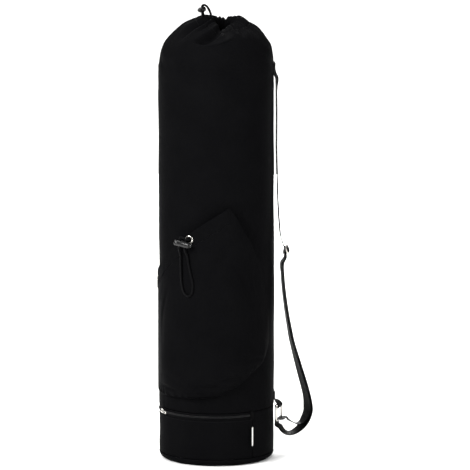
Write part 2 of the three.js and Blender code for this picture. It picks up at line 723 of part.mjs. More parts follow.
function pocketSurface(across, up) {
  const row = (name) => lookUp(pocketSections, "across", name, across);
  const bottomZ = pocketBottom + pocketHeight * row("bottom");
  const edgeZ = pocketBottom + pocketHeight * row("top");
  const z = THREE.MathUtils.lerp(bottomZ, edgeZ, up);
  const height = (z - bottomZ) / (edgeZ - bottomZ);
  const last = pocketSwell[pocketSwell.length - 1];
  const swell = row("belly") * lookUp(pocketSwell, "up", "full", height);
  const ease = THREE.MathUtils.smoothstep(height, last.up - easeReach, 1);
  const standOff = clearance + pocketWall + pocketDepth * THREE.MathUtils.lerp(swell, row("lift"), ease);
  return { angle: pocketLeftAngle + across * pocketTurn, radius: bodyRadius + standOff, z };
}

function pocketOutline(across, low, high, shares, wall) {
  const outer = shares.map((share) => pocketSurface(across, THREE.MathUtils.lerp(low, high, share)));
  const outside = outer.map((point) => around(point.angle, point.radius, point.z));
  const inside = outer.map((point) => around(point.angle, point.radius - wall, point.z)).reverse();
  return [...outside, ...inside];
}

// Share of a column's height that a length takes up there
function columnShare(across, length) {
  const row = (name) => lookUp(pocketSections, "across", name, across);
  return length / (pocketHeight * (row("top") - row("bottom")));
}
const panelShares = [0, 0.012, 0.035, 0.08, 0.16, 0.28, 0.4, 0.52, 0.64, 0.76, 0.88, 1];
const edgeStep = 0.003;
const leftAcross = [
  0, 0.052, 0.104, 0.141, 0.178, 0.212, 0.246, 0.28, 0.315, 0.347, 0.38, 0.418, 0.455, 0.501, 0.547, 0.61,
];
const rightAcross = [0.707, 0.755, 0.786, 0.817, 0.847, 0.872, 0.897, 0.938, 0.97, 1];
const panelAcross = [...leftAcross, pocketPeakShare, pocketPeakShare + edgeStep, ...rightAcross];
const pocketOutlines = panelAcross.map((across) => {
  const high = across <= pocketPeakShare ? 1 - columnShare(across, pocketHemDrop) : 1;
  return pocketOutline(across, 0, high, panelShares, pocketWall);
});
add("pocket_panel", skin(pocketOutlines), polyesterFinish);

// Folded hem along the pocket's mouth, with the hole for the eyelet
const hemAcross = [edgeStep, ...leftAcross.slice(1), pocketPeakShare - edgeStep];
const pocketHemOutlines = hemAcross.map((across) => {
  const wall = pocketWall + pocketDepth * lookUp(pocketSections, "across", "lift", across);
  const low = 1 - columnShare(across, pocketHemDrop - clearance);
  return pocketOutline(across, low, 1, [0, 0.33, 0.67, 1], Math.min(pocketHemWall, wall));
});
const eyeletAcross = 0.43;
const eyeletDown = 8.3;
const eyeletTopZ = pocketBottom + pocketHeight * lookUp(pocketSections, "across", "top", eyeletAcross);
const eyeletZ = eyeletTopZ - eyeletDown;
const eyeletSpot = pocketSurface(eyeletAcross, 1);
const eyeletOut = outwardAt(eyeletSpot.angle);
const eyeletTangent = tangentAt(eyeletSpot.angle);
const upward = new THREE.Vector3(0, 0, 1);
const eyeletLift = 0.55;
const eyeletFace = around(eyeletSpot.angle, eyeletSpot.radius + eyeletLift, eyeletZ);
const eyeletTubeRadius = eyeletHole / 2 + 0.6;
const eyeletHoleTool = place(
  roundBar(eyeletTubeRadius + clearance, 4 * pocketHemWall, roundSides).rotateX(Math.PI / 2),
  eyeletTangent, upward, eyeletOut, eyeletFace);
add("pocket_hem", cut(skin(pocketHemOutlines), eyeletHoleTool), polyesterFinish);

const eyeletBack = -(pocketHemWall + 3 * eyeletLift);
add("pocket_eyelet", place(turned([
  [eyeletHole / 2, 0.4],
  [eyeletHole / 2 + 0.7, eyeletWall + 0.5],
  [eyeletRim / 2 - 1, eyeletWall + 0.2],
  [eyeletRim / 2, 0],
  [eyeletTubeRadius, 0],
  [eyeletTubeRadius, eyeletBack],
  [eyeletTubeRadius + 1.8, eyeletBack],
  [eyeletTubeRadius + 1.8, eyeletBack - 0.6],
  [eyeletHole / 2, eyeletBack - 0.6],
  [eyeletHole / 2, 0.4],
], roundSides), eyeletTangent, upward, eyeletOut, eyeletFace), nickelFinish);

// Cord locks: a barrel with a cross passage for the two strands and a sprung button in its end
function lockSet(prefix, at, along, cordWay, radius, length, passageShift, strandGap) {
  const deep = new THREE.Vector3().crossVectors(cordWay, along);
  const half = length / 2;
  const barrel = turned([
    [0, -half], [radius * 0.7, -half], [radius * 0.94, -half + 0.8], [radius, -half + 2],
    [radius, half - 2], [radius * 0.94, half - 0.8], [radius * 0.8, half], [0, half],
  ], lockSides);
  const passageLength = strandGap + cordDiameter + 2 * clearance;
  const passageWidth = cordDiameter + 2 * clearance;
  const passage = plate(passageWidth, passageLength, 4 * radius, passageWidth / 2 - 0.01, 0);
  passage.rotateX(Math.PI / 2).translate(0, 0, passageShift);
  const boreBottom = passageShift + passageLength / 2 - 1;
  const bore = roundBar(plungerRadius + clearance, half + 1 - boreBottom, lockSides).rotateX(Math.PI / 2);
  bore.translate(0, 0, (half + 1 + boreBottom) / 2);
  const basis = [deep, cordWay, along];
  add(`${prefix}_body`, place(cut(barrel, passage, bore), ...basis, at), lockFinish);
  const buttonBack = passageShift + passageLength / 2 + plungerTravel + clearance;
  const buttonFront = half + plungerOut;
  add(`${prefix}_button`, place(turned([
    [0, buttonBack], [plungerRadius, buttonBack], [plungerRadius, buttonFront - plungerEdge],
    [plungerRadius - plungerEdge, buttonFront], [0, buttonFront],
  ], lockSides), ...basis, at), lockFinish);
}

const pocketLockAlong = new THREE.Vector3(0.86, -0.49, -0.13).normalize();
const pocketLockWay = new THREE.Vector3(0.13, 0, 0.99);
pocketLockWay.addScaledVector(pocketLockAlong, -pocketLockWay.dot(pocketLockAlong)).normalize();
const pocketLockAt = around(-30, 105.3, 353.8);
lockSet("pocket_lock", pocketLockAt, pocketLockAlong, pocketLockWay, lockRadius, lockLength, 0, 10);
const topLockAlong = new THREE.Vector3(-0.45, -0.89, 0).normalize();
const topLockWay = new THREE.Vector3(0, 0, 1);
const topLockAt = new THREE.Vector3(-22.15, -13, 710);
lockSet("top_lock", topLockAt, topLockAlong, topLockWay, topLockRadius, topLockLength, -1.6, 3.8);

// Cords
function cordTube(points, stepLength) {
  const stops = points.map((point) => new THREE.Vector3(...point));
  const curve = new THREE.CatmullRomCurve3(stops, false, "centripetal");
  const circle = new THREE.Shape();
  const sides = 8;
  for (let i = 0; i < sides; i += 1) {
    const turn = (2 * Math.PI * i) / sides;
    const x = (cordDiameter / 2) * Math.cos(turn);
    const y = (cordDiameter / 2) * Math.sin(turn);
    if (i === 0) circle.moveTo(x, y);
    else circle.lineTo(x, y);
  }
  circle.closePath();
  return new THREE.ExtrudeGeometry(circle, {
    steps: Math.round(curve.getLength() / stepLength),
    extrudePath: curve,
    bevelEnabled: false,
    curveSegments: 1,
  });
}
add("pocket_cord", cordTube(pocketCordPoints, 5.6), cordFinish);
add("top_cord", cordTube(topCordPoints, 3.6), cordFinish);

// Webbing: a flat band through stations with a middle point and the direction of its width
function band(stations, width, wall) {
  const outlines = stations.map((station, i) => {
    const before = stations[Math.max(i - 1, 0)].at;
    const after = stations[Math.min(i + 1, stations.length - 1)].at;
    const along = new THREE.Vector3().subVectors(after, before).normalize();
    const wide = station.wide.clone().addScaledVector(along, -station.wide.dot(along)).normalize();
    const face = new THREE.Vector3().crossVectors(along, wide);
    const corner = (across, out) => station.at.clone()
      .addScaledVector(wide, (across * width) / 2)
      .addScaledVector(face, (out * wall) / 2);
    return [corner(1, 1), corner(-1, 1), corner(-1, -1), corner(1, -1)];
  });
  return skin(outlines);
}

const widthWay = (turn, lean = 0) => new THREE.Vector3(
  Math.sin(radians(turn)) * Math.cos(radians(lean)),
  -Math.cos(radians(turn)) * Math.cos(radians(lean)),
  Math.sin(radians(lean)));
const strapPoint = (row) =>
  new THREE.Vector3(bodyRadius + row.out * strapBow, strapY, strapTop - row.drop * strapDrop);

// Adjuster: three bars across the strap, d down along it and n away from the bag, about its middle bar
const adjusterAt = strapPoint({ drop: 0.492, out: 0.357 });
const adjusterDown = new THREE.Vector3(Math.sin(radians(adjusterTilt)), 0, -Math.cos(radians(adjusterTilt)));
const adjusterOut = new THREE.Vector3(Math.cos(radians(adjusterTilt)), 0, Math.sin(radians(adjusterTilt)));
const adjusterLayer = webbingWall + clearance + 0.05;
const adjusterNear = adjusterBar / 2 + clearance + webbingWall / 2 + 0.1;
const adjusterRows = (pairs) => pairs.map(([down, out]) => ({
  at: adjusterAt.clone().addScaledVector(adjusterDown, down).addScaledVector(adjusterOut, out),
  wide: widthWay(2),
}));
const adjusterSlot = adjusterPitch - adjusterBar / 2 - clearance - webbingWall / 2 - 0.6;
const loadThrough = adjusterRows([
  [-adjusterPitch - 2.4, -adjusterNear - 0.1], [-adjusterPitch, -adjusterNear],
  [1.3 - adjusterPitch, -adjusterNear],
  [-adjusterSlot - 0.15, -1.4], [-adjusterSlot, 0], [0.15 - adjusterSlot, 1.5], [-3.2, adjusterNear + 0.7],
  [-1.8, adjusterNear + adjusterLayer - 0.15], [0, adjusterNear + adjusterLayer],
  [1.8, adjusterNear + adjusterLayer - 0.15], [3.2, adjusterNear + 0.7], [adjusterSlot - 0.15, 1.5],
  [adjusterSlot, 0], [adjusterSlot + 0.15, -1.4], [adjusterPitch - 1.3, -adjusterNear],
  [adjusterPitch, -adjusterNear], [adjusterPitch + 3, -adjusterNear - 0.5],
]);
const fixedEnd = adjusterRows([
  [adjusterPitch + 5, -adjusterNear - 0.5 - 2 * adjusterLayer],
  [adjusterPitch, -adjusterNear - 2 * adjusterLayer - 0.1],
  [4.6, -adjusterNear - 2 * adjusterLayer], [2.2, -adjusterNear - 1.35 * adjusterLayer],
  [0.6, -adjusterNear - 0.5 * adjusterLayer], [-0.6, -adjusterNear],
  [-0.78 * adjusterNear, -0.78 * adjusterNear], [-adjusterNear, 0], [-0.78 * adjusterNear, 0.78 * adjusterNear],
  [0, adjusterNear], [0.78 * adjusterNear, 0.78 * adjusterNear], [adjusterNear, 0],
  [adjusterNear + 0.15, -1.4], [3.2, -2.7], [4.8, -adjusterNear - 0.9 * adjusterLayer],
  [adjusterPitch, -adjusterNear - adjusterLayer - 0.1],
  [adjusterPitch + 4, -adjusterNear - adjusterLayer - 0.4],
]);

// Ring: its bars lie along ringAlong, the strap goes round the lower one
const ringAlong = new THREE.Vector3(Math.cos(radians(ringYaw)), Math.sin(radians(ringYaw)), 0);
const ringFace = new THREE.Vector3().crossVectors(ringAlong, upward);
const ringAt = new THREE.Vector3(bodyRadius + ringStandoff, strapY, ringZ);
const lowerBar = ringAt.clone().addScaledVector(upward, -ringHalfHeight);
const upperBar = ringAt.clone().addScaledVector(upward, ringHalfHeight);
const nearBar = ringWire / 2 + clearance + webbingWall / 2 + 0.2;
const roundBarRows = (bar, pairs) => pairs.map(([out, up]) => ({
  at: bar.clone().addScaledVector(ringFace, out).addScaledVector(upward, up),
  wide: ringAlong.clone().negate(),
}));
const ringWrap = roundBarRows(lowerBar, [
  [-nearBar - 0.6, -8], [-nearBar - 0.4, -4], [-nearBar - 0.2, 0], [-0.72 * nearBar, 0.72 * nearBar],
  [0, nearBar + 0.1], [0.72 * nearBar, 0.9 * nearBar], [nearBar + 1.4, 1.8], [nearBar + 4, 1.6],
]);

const offsetRows = (rows, side) => rows.map((row, i) => {
  const before = strapPoint(rows[Math.max(i - 1, 0)]);
  const after = strapPoint(rows[Math.min(i + 1, rows.length - 1)]);
  const along = new THREE.Vector3().subVectors(after, before).normalize();
  const aside = new THREE.Vector3().crossVectors(widthWay(row.turn), along).normalize();
  return { at: strapPoint(row).addScaledVector(aside, side * row.half), wide: widthWay(row.turn) };
});
const plainRows = (rows) => rows.map((row) => ({ at: strapPoint(row), wide: widthWay(row.turn, row.lean) }));
const strapUpper = plainRows(strapUpperRows);
const strapOuter = offsetRows(strapDoubleRows, 1);
const strapInner = offsetRows(strapDoubleRows, -1).reverse();
const strapStations = [
  ...strapUpper, ...loadThrough, ...strapOuter, ...plainRows(strapBendRows), ...ringWrap,
  ...plainRows(strapReturnRows), ...strapInner, ...fixedEnd,
];
add("shoulder_strap", band(strapStations, webbingWidth, webbingWall), webbingFinish);

const slotWidth = webbingWidth + 1;
const slotHeight = adjusterPitch - adjusterBar;
add("strap_adjuster", place(
  plate(slotWidth + 2 * adjusterBar + 0.4, 2 * adjusterPitch + adjusterBar, adjusterBar, 2.6, 0.4, [
    { width: slotWidth, height: slotHeight, corner: 0.9, y: adjusterPitch / 2 },
    { width: slotWidth, height: slotHeight, corner: 0.9, y: -adjusterPitch / 2 },
  ]),
  widthWay(2), adjusterDown.clone().negate(),
  new THREE.Vector3().crossVectors(widthWay(2), adjusterDown.clone().negate()), adjusterAt), nickelFinish);

// The ring itself: round wire in a rounded rectangle
function ringGeometry() {
  const stops = [];
  const corners = [[1, 1, 0], [-1, 1, 90], [-1, -1, 180], [1, -1, 270]];
  corners.forEach(([sx, sy, start]) => {
    for (let i = 0; i <= 3; i += 1) {
      const turn = radians(start + i * 30);
      const direction = new THREE.Vector2(Math.cos(turn), Math.sin(turn));
      const middle = new THREE.Vector2(sx * (ringHalfWidth - ringCorner), sy * (ringHalfHeight - ringCorner));
      stops.push({ middle: middle.addScaledVector(direction, ringCorner), direction });
    }
  });
  const sides = 8;
  return skin(stops.map(({ middle, direction }) => Array.from({ length: sides }, (_, j) => {
    const turn = (2 * Math.PI * j) / sides;
    const out = (ringWire / 2) * Math.cos(turn);
    const wireMiddle = middle.clone().addScaledVector(direction, out);
    return new THREE.Vector3(wireMiddle.x, wireMiddle.y, (ringWire / 2) * Math.sin(turn));
  })), true);
}
add("strap_ring", place(ringGeometry(), ringAlong, upward, ringFace, ringAt), nickelFinish);

// Webbing tab that holds the ring: sewn to the body above it and folded round its upper bar
const tabRadius = bodyRadius + clearance + webbingWall / 2;
const tabAngle = 95;
const sewnWide = tangentAt(tabAngle).negate();
const tabRows = [
  { at: around(tabAngle, tabRadius, ringZ + ringHalfHeight + 24), wide: sewnWide },
  { at: around(tabAngle, tabRadius, ringZ + ringHalfHeight + 14), wide: sewnWide },
  { at: around(tabAngle, tabRadius + 0.8, ringZ + ringHalfHeight + 9), wide: sewnWide },
  ...roundBarRows(upperBar, [
    [-nearBar * 0.6, 5.4], [nearBar * 0.55, nearBar * 0.95 + 0.3], [nearBar, 0],
    [0.72 * nearBar, -0.72 * nearBar], [0, -nearBar], [-0.72 * nearBar, -0.72 * nearBar],
    [-nearBar, 0], [-nearBar - 0.5, 2.2],
  ]),
];
add("ring_tab", band(tabRows, webbingWidth - 1, webbingWall), webbingFinish);

export default group;
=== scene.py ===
import math
from contextlib import contextmanager

import bmesh
import bpy
import numpy as np
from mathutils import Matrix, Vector


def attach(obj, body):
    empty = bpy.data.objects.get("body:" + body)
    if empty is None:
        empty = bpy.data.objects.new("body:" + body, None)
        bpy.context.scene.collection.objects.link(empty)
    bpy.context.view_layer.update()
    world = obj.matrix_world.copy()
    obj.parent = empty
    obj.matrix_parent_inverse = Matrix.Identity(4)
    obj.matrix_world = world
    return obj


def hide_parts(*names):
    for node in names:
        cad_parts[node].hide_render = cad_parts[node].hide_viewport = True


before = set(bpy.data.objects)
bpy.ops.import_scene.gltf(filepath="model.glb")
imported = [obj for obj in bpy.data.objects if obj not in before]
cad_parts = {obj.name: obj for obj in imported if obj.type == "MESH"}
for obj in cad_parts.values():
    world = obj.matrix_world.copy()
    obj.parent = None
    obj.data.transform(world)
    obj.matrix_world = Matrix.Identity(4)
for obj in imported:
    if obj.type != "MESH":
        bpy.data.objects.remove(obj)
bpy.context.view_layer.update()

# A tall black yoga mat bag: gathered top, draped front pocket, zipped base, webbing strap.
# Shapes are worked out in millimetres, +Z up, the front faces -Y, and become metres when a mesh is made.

scene = bpy.context.scene
mm = 0.001
bagRadius = 90.0
bagGirth = 565
onBag = bagRadius + 0.3  # where pieces lie on the cloth


# Helpers for shapes

def around(angle, radius, z):  # point on a cylinder, the angle in degrees to the right of the front
    turn = np.radians(angle)
    return np.stack(np.broadcast_arrays(radius * np.sin(turn), -radius * np.cos(turn), z), axis=-1)


def smoothStep(value, low, high):
    share = np.clip((np.asarray(value, float) - low) / (high - low), 0, 1)
    return share * share * (3 - 2 * share)


def hermite(keys, values, slope, at):  # cubic through a table's rows, with the slope at each row
    i = np.clip(np.searchsorted(keys, at) - 1, 0, len(keys) - 2)
    width = keys[i + 1] - keys[i]
    t = np.clip((at - keys[i]) / width, 0, 1)
    a, b = 2 * t**3 - 3 * t**2 + 1, t**3 - 2 * t**2 + t
    c, d = 3 * t**2 - 2 * t**3, t**3 - t**2
    return a * values[i] + b * width * slope[i] + c * values[i + 1] + d * width * slope[i + 1]


def smoothTable(keys, values, at):  # level at a table's highs and lows, so that it never overshoots
    keys, values, at = np.asarray(keys, float), np.asarray(values, float), np.asarray(at, float)
    slope = np.gradient(values, keys)
    steps = np.diff(values) / np.diff(keys)
    slope[1:-1][steps[:-1] * steps[1:] <= 0] = 0
    return hermite(keys, values, slope, at)


def rolling(seed, count, across, along, lowWave, highWave, girth=None):
    # soft unevenness of cloth: a few long waves of random heading, within -1 to 1
    # with a girth, across is an angle in degrees and the waves close on themselves
    random = np.random.default_rng(seed)
    total = np.zeros(np.broadcast(across, along).shape)
    for _ in range(count):
        wave = random.uniform(lowWave, highWave)
        heading = random.uniform(0, 2 * math.pi)
        phase = random.uniform(0, 2 * math.pi)
        if girth is None:
            side = 2 * math.pi * np.cos(heading) * across / wave
        else:
            side = round(girth * np.cos(heading) / wave) * np.radians(across)
        total = total + np.sin(side + 2 * math.pi * np.sin(heading) * along / wave + phase)
    return total / math.sqrt(count)


def unit(vectors):
    vectors = np.array(vectors, float)
    return vectors / np.maximum(np.linalg.norm(vectors, axis=-1, keepdims=True), 1e-9)


def lengths(points):  # how far along its line each point lies
    return np.concatenate([[0], np.cumsum(np.linalg.norm(np.diff(points, axis=0), axis=1))])


def circle(sides):
    return np.arange(sides) * 2 * math.pi / sides


def gridMesh(name, points, uv, closedRows=False, closedColumns=False, capColumns=False):
    # points: rows x columns x 3 in mm
    # uv: (rows + 1) x (columns + 1) x 2 in mm where closed, else rows x columns
    rows, columns = points.shape[:2]
    r = np.arange(rows if closedRows else rows - 1)
    c = np.arange(columns if closedColumns else columns - 1)
    r, c = np.meshgrid(r, c, indexing="ij")
    rNext, cNext = (r + 1) % rows, (c + 1) % columns
    corners = [(r, c, r, c), (r, cNext, r, c + 1), (rNext, cNext, r + 1, c + 1), (rNext, c, r + 1, c)]
    faces = np.stack([(a * columns + b).ravel() for a, b, _, _ in corners], axis=1)
    spots = np.stack([uv[a, b].reshape(-1, 2) for _, _, a, b in corners], axis=1)
    if capColumns:  # a walled sheet's side edges
        sheet = np.arange(rows // 2 - 1)
        other = rows - 2 - sheet
        for column, order in ((0, (0, 1, 2, 3)), (columns - 1, (1, 0, 3, 2))):
            ring = [sheet, sheet + 1, other - 1, other]
            faces = np.concatenate([faces, np.stack([ring[i] * columns + column for i in order], axis=1)])
            spots = np.concatenate([spots, np.stack([uv[ring[i], column] for i in order], axis=1)])
    mesh = bpy.data.meshes.new(name)
    mesh.vertices.add(rows * columns)
    mesh.vertices.foreach_set("co", (points.reshape(-1, 3) * mm).ravel())
    mesh.loops.add(faces.size)
    mesh.loops.foreach_set("vertex_index", faces.ravel())
    mesh.polygons.add(len(faces))
    mesh.polygons.foreach_set("loop_start", np.arange(0, faces.size, 4))
    mesh.update(calc_edges=True)
    layer = mesh.uv_layers.new(name="cloth")
    layer.data.foreach_set("uv", (spots.reshape(-1, 2) * mm).ravel())
    mesh.polygons.foreach_set("use_smooth", np.ones(len(faces), bool))
    return mesh


def newObject(name, mesh):
    piece = bpy.data.objects.new(name, mesh)
    scene.collection.objects.link(piece)
    return piece


def surfaceNormals(points, closedColumns=False):
    down = np.gradient(points, axis=0)
    if closedColumns:
        side = (np.roll(points, -1, axis=1) - np.roll(points, 1, axis=1)) / 2
    else:
        side = np.gradient(points, axis=1)
    return unit(np.cross(side, down))


def walled(name, points, uv, wall):
    # a piece of cloth: its sheet and its back, set off by the wall, as rows that close round soft edges
    wall = np.broadcast_to(wall, points.shape[:2])[..., None]
    back = points - surfaceNormals(points) * wall
    rims = []
    for end, before in ((-1, -2), (0, 1)):
        away = unit(points[end] - points[before])
        rims.append((points[end] + back[end]) / 2 + away * wall[end] * 0.3)
    both = np.concatenate([points, rims[0][None], back[::-1], rims[1][None]])
    uv = np.concatenate([uv, uv[-1:], uv[::-1], uv[:1], uv[:1]])
    return newObject(name, gridMesh(name, both, uv, closedRows=True, capColumns=True))


def gridUv(across, along):
    return np.stack(np.meshgrid(across, along), axis=-1)


def wrapUv(angle, z):  # cloth laid round the bag
    return np.stack([np.radians(angle) * bagRadius, z], axis=-1)


@contextmanager
def meshEdit(mesh):
    work = bmesh.new()
    work.from_mesh(mesh)
    yield work
    work.to_mesh(mesh)
    work.free()


def weld(mesh, recalc=True):
    with meshEdit(mesh) as work:
        bmesh.ops.remove_doubles(work, verts=work.verts, dist=0.01 * mm)
        if recalc:
            bmesh.ops.recalc_face_normals(work, faces=work.faces)


def rod(name, rings, uv):  # rings of points as a piece with its ends closed
    mesh = gridMesh(name, rings, uv, closedColumns=True)
    with meshEdit(mesh) as work:
        bmesh.ops.holes_fill(work, edges=[edge for edge in work.edges if edge.is_boundary], sides=0)
        bmesh.ops.recalc_face_normals(work, faces=work.faces)
    return newObject(name, mesh)


def frozen(piece):  # modifiers become mesh
    depsgraph = bpy.context.evaluated_depsgraph_get()
    mesh = bpy.data.meshes.new_from_object(piece.evaluated_get(depsgraph))
    old = piece.data
    piece.modifiers.clear()
    piece.data = mesh
    if old.users == 0:
        bpy.data.meshes.remove(old)
    return piece


def lathed(name, profile, sides, basis=np.eye(3), at=(0, 0, 0)):
    # a piece from a profile of (radius, height) pairs turned about basis z
    turn = circle(sides)
    radius, height = np.array(profile, float).T
    points = np.stack([radius[:, None] * np.cos(turn), radius[:, None] * np.sin(turn),
                       np.repeat(height[:, None], sides, axis=1)], axis=-1)
    points = points @ np.array(basis, float) + np.array(at, float)
    uv = gridUv(np.linspace(0, 1, sides + 1) * 2 * math.pi * radius.max(), lengths(np.array(profile, float)))
    mesh = gridMesh(name, points, uv, closedColumns=True)
    weld(mesh)
    return newObject(name, mesh)


def smoothPath(stops, step):  # even points along a smooth curve through the stops
    stops = np.array(stops, float)
    key = lengths(stops[:, :3])
    fine = np.linspace(0, key[-1], max(int(key[-1] / step * 4), 8))
    path = np.stack([hermite(key, column, np.gradient(column, key), fine) for column in stops.T], axis=1)
    run = lengths(path[:, :3])
    even = np.linspace(0, run[-1], max(int(round(run[-1] / step)), 4) + 1)
    return np.stack([np.interp(even, run, column) for column in path.T], axis=1), even


def tube(name, stops, diameter, sides, step):  # round cord along a smooth route, with its ends closed
    path, run = smoothPath(stops, step)
    along = unit(np.gradient(path, axis=0))
    side = unit(np.cross(along[0], [0.3, 0.2, 1]))
    turn = circle(sides)[:, None]
    rings = []
    for point, way in zip(path, along):
        side = unit(side - way * side.dot(way))
        up = np.cross(way, side)
        rings.append(point + diameter / 2 * (np.cos(turn) * side + np.sin(turn) * up))
    uv = gridUv(np.linspace(0, 1, sides + 1) * math.pi * diameter, run)
    return rod(name, np.array(rings), uv), path, run[-1]


def bevelled(piece, width, segments, angle):
    bevel = piece.modifiers.new("edges", "BEVEL")
    bevel.width, bevel.segments = width * mm, segments
    bevel.limit_method, bevel.angle_limit = "ANGLE", math.radians(angle)
    return frozen(piece)


def refined(name, nodeName, edgeWidth):
    # a hard CAD piece with its edges broken, made from a welded copy of its mesh
    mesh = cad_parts[nodeName].data.copy()
    mesh.name = name
    weld(mesh, recalc=False)
    with meshEdit(mesh) as work:
        bmesh.ops.dissolve_limit(work, angle_limit=math.radians(1), verts=work.verts, edges=work.edges)
    mesh.materials.clear()
    piece = bevelled(newObject(name, mesh), edgeWidth, 3, 32)
    shadeByAngle(piece.data, 40)
    return piece


def shadeByAngle(mesh, angle):
    mesh.polygons.foreach_set("use_smooth", np.ones(len(mesh.polygons), bool))
    with meshEdit(mesh) as work:
        for edge in work.edges:
            edge.smooth = not (len(edge.link_faces) == 2 and edge.calc_face_angle(0) > math.radians(angle))


# Helpers for materials

def linear(code):  # sRGB hex to linear
    parts = [int(code[i:i + 2], 16) / 255 for i in (1, 3, 5)]
    return tuple(p / 12.92 if p <= 0.04045 else ((p + 0.055) / 1.055) ** 2.4 for p in parts) + (1.0,)


def addNode(tree, kind, links=(), **settings):
    # links: (input name or index, source socket or value)
    made = tree.nodes.new(kind)
    for key, value in settings.items():
        setattr(made, key, value)
    for key, source in links:
        if isinstance(source, bpy.types.NodeSocket):
            tree.links.new(source, made.inputs[key])
        else:
            made.inputs[key].default_value = source
    return made


def newMaterial(name, **values):
    material = bpy.data.materials.new(name)
    material.use_nodes = True
    shader = material.node_tree.nodes["Principled BSDF"]
    for key, value in values.items():
        shader.inputs[key].default_value = value
    return material, material.node_tree, shader


def mathNode(tree, operation, a, b=0.0, c=0.0):
    return addNode(tree, "ShaderNodeMath", [(0, a), (1, b), (2, c)], operation=operation).outputs[0]


def hump(tree, value):  # rises to 1 and falls to 0 over each whole number of the value
    return mathNode(tree, "SINE", mathNode(tree, "MULTIPLY", mathNode(tree, "FRACT", value), math.pi))


def clothAxes(tree, acrossPitch, alongPitch, turn=0.0):  # threads counted across and along the piece
    uv = addNode(tree, "ShaderNodeUVMap", uv_map="cloth")
    turned = addNode(tree, "ShaderNodeMapping", [("Vector", uv.outputs[0]), ("Rotation", (0, 0, turn))])
    axes = addNode(tree, "ShaderNodeSeparateXYZ", [(0, turned.outputs[0])])
    return [mathNode(tree, "MULTIPLY", axes.outputs[i], 1 / (pitch * mm))
            for i, pitch in enumerate((acrossPitch, alongPitch))]


def wovenPattern(tree, warpPitch, weftPitch, turn=0.0):
    # plain weave: warp and weft threads pass over each other in turn; returns height and which thread is up
    across, along = clothAxes(tree, warpPitch, weftPitch, turn)
    cells = mathNode(tree, "ADD", mathNode(tree, "FLOOR", across), mathNode(tree, "FLOOR", along))
    up = mathNode(tree, "FLOORED_MODULO", cells, 2.0)
    both = addNode(tree, "ShaderNodeMix", [(0, up), (2, hump(tree, across)), (3, hump(tree, along))])
    return mathNode(tree, "POWER", both.outputs[0], 0.7), up


def objectNoise(tree, size, detail=3.0, roughness=0.5):  # size in mm
    place = addNode(tree, "ShaderNodeTexCoord")
    return addNode(tree, "ShaderNodeTexNoise", [
        ("Vector", place.outputs["Object"]), ("Scale", 1 / (size * mm)), ("Detail", detail),
        ("Roughness", roughness)]).outputs[0]


def paint(tree, shader, factor, dark, light):
    mixed = addNode(tree, "ShaderNodeMix", [(0, factor), (6, linear(dark)), (7, linear(light))],
                    data_type="RGBA")
    tree.links.new(mixed.outputs[2], shader.inputs["Base Color"])


def roughen(tree, shader, noise, span, low):
    tree.links.new(mathNode(tree, "MULTIPLY_ADD", noise, span, low), shader.inputs["Roughness"])


def bump(tree, shader, height, strength, distance, under=None):
    links = [("Strength", strength), ("Distance", distance * mm), ("Height", height)]
    if under is not None:
        links.append(("Normal", under))
    made = addNode(tree, "ShaderNodeBump", links)
    tree.links.new(made.outputs[0], shader.inputs["Normal"])
    return made.outputs[0]


def clothMaterial(name, dark, light, roughness, bumpDepth, creaseDepth):
    material, tree, shader = newMaterial(name, **{"Specular IOR Level": 0.0015})
    height, up = wovenPattern(tree, 0.62, 0.62)
    blotch = objectNoise(tree, 38)
    mixed = mathNode(tree, "MULTIPLY_ADD", height, 0.38, mathNode(tree, "MULTIPLY", blotch, 0.45))
    fleck = mathNode(tree, "MULTIPLY_ADD", objectNoise(tree, 1.6, 2.0), 0.25, mixed)
    paint(tree, shader, mathNode(tree, "MULTIPLY_ADD", up, 0.1, fleck), dark, light)
    roughen(tree, shader, blotch, 0.12, roughness - 0.06)
    creases = bump(tree, shader, objectNoise(tree, 17, 4.0, 0.55), 0.5, creaseDepth)
    bump(tree, shader, height, 0.55, bumpDepth, creases)
    return material


cordDiameter = 3.4
# Coated 600 denier polyester, plain weave: near black and matt, with the threads just showing.
# They are about 0.5 mm apart, drawn at 0.62 mm.
oxfordCloth = clothMaterial("oxfordPolyester", "#030304", "#0d0d0e", 0.42, 0.16, 0.5)
# The lining side of the same cloth: smoother and a little darker
liningCloth = clothMaterial("coatedLining", "#040405", "#0b0b0c", 0.5, 0.08, 0.4)

# Polyester webbing: cross ribs 1.3 mm apart, lengthwise yarns 0.9 mm wide, denser than the cloth
# and with a little more shine
webbing, tree, shader = newMaterial("polyesterWebbing", **{
    "Roughness": 0.44, "Specular IOR Level": 0.012})
yarn, rib = clothAxes(tree, 0.9, 1.3)
# every other yarn is half a rib further on, which gives the webbing its brick-like herringbone
odd = mathNode(tree, "FLOORED_MODULO", mathNode(tree, "FLOOR", yarn), 2.0)
shift = mathNode(tree, "MULTIPLY", odd, 0.5)
both = mathNode(tree, "MULTIPLY", hump(tree, yarn), hump(tree, mathNode(tree, "ADD", rib, shift)))
height = mathNode(tree, "POWER", both, 0.55)
blotch = mathNode(tree, "MULTIPLY", objectNoise(tree, 22), 0.35)
paint(tree, shader, mathNode(tree, "MULTIPLY_ADD", height, 0.6, blotch), "#030303", "#0c0c0d")
bump(tree, shader, height, 0.7, 0.3)

# Braided polyester drawcord: strands cross in small diamonds, 1.5 mm long, with a faint soft shine
braidedCord, tree, shader = newMaterial("braidedCord", **{
    "Roughness": 0.45, "Sheen Weight": 0.001, "Sheen Roughness": 0.4, "Specular IOR Level": 0.04})
across, along = clothAxes(tree, math.pi * cordDiameter / 4, 3.2)
left, right = (hump(tree, mathNode(tree, way, across, along)) for way in ("ADD", "SUBTRACT"))
height = mathNode(tree, "MULTIPLY", left, right)
paint(tree, shader, height, "#020203", "#0b0b0c")
bump(tree, shader, height, 0.8, 0.35)

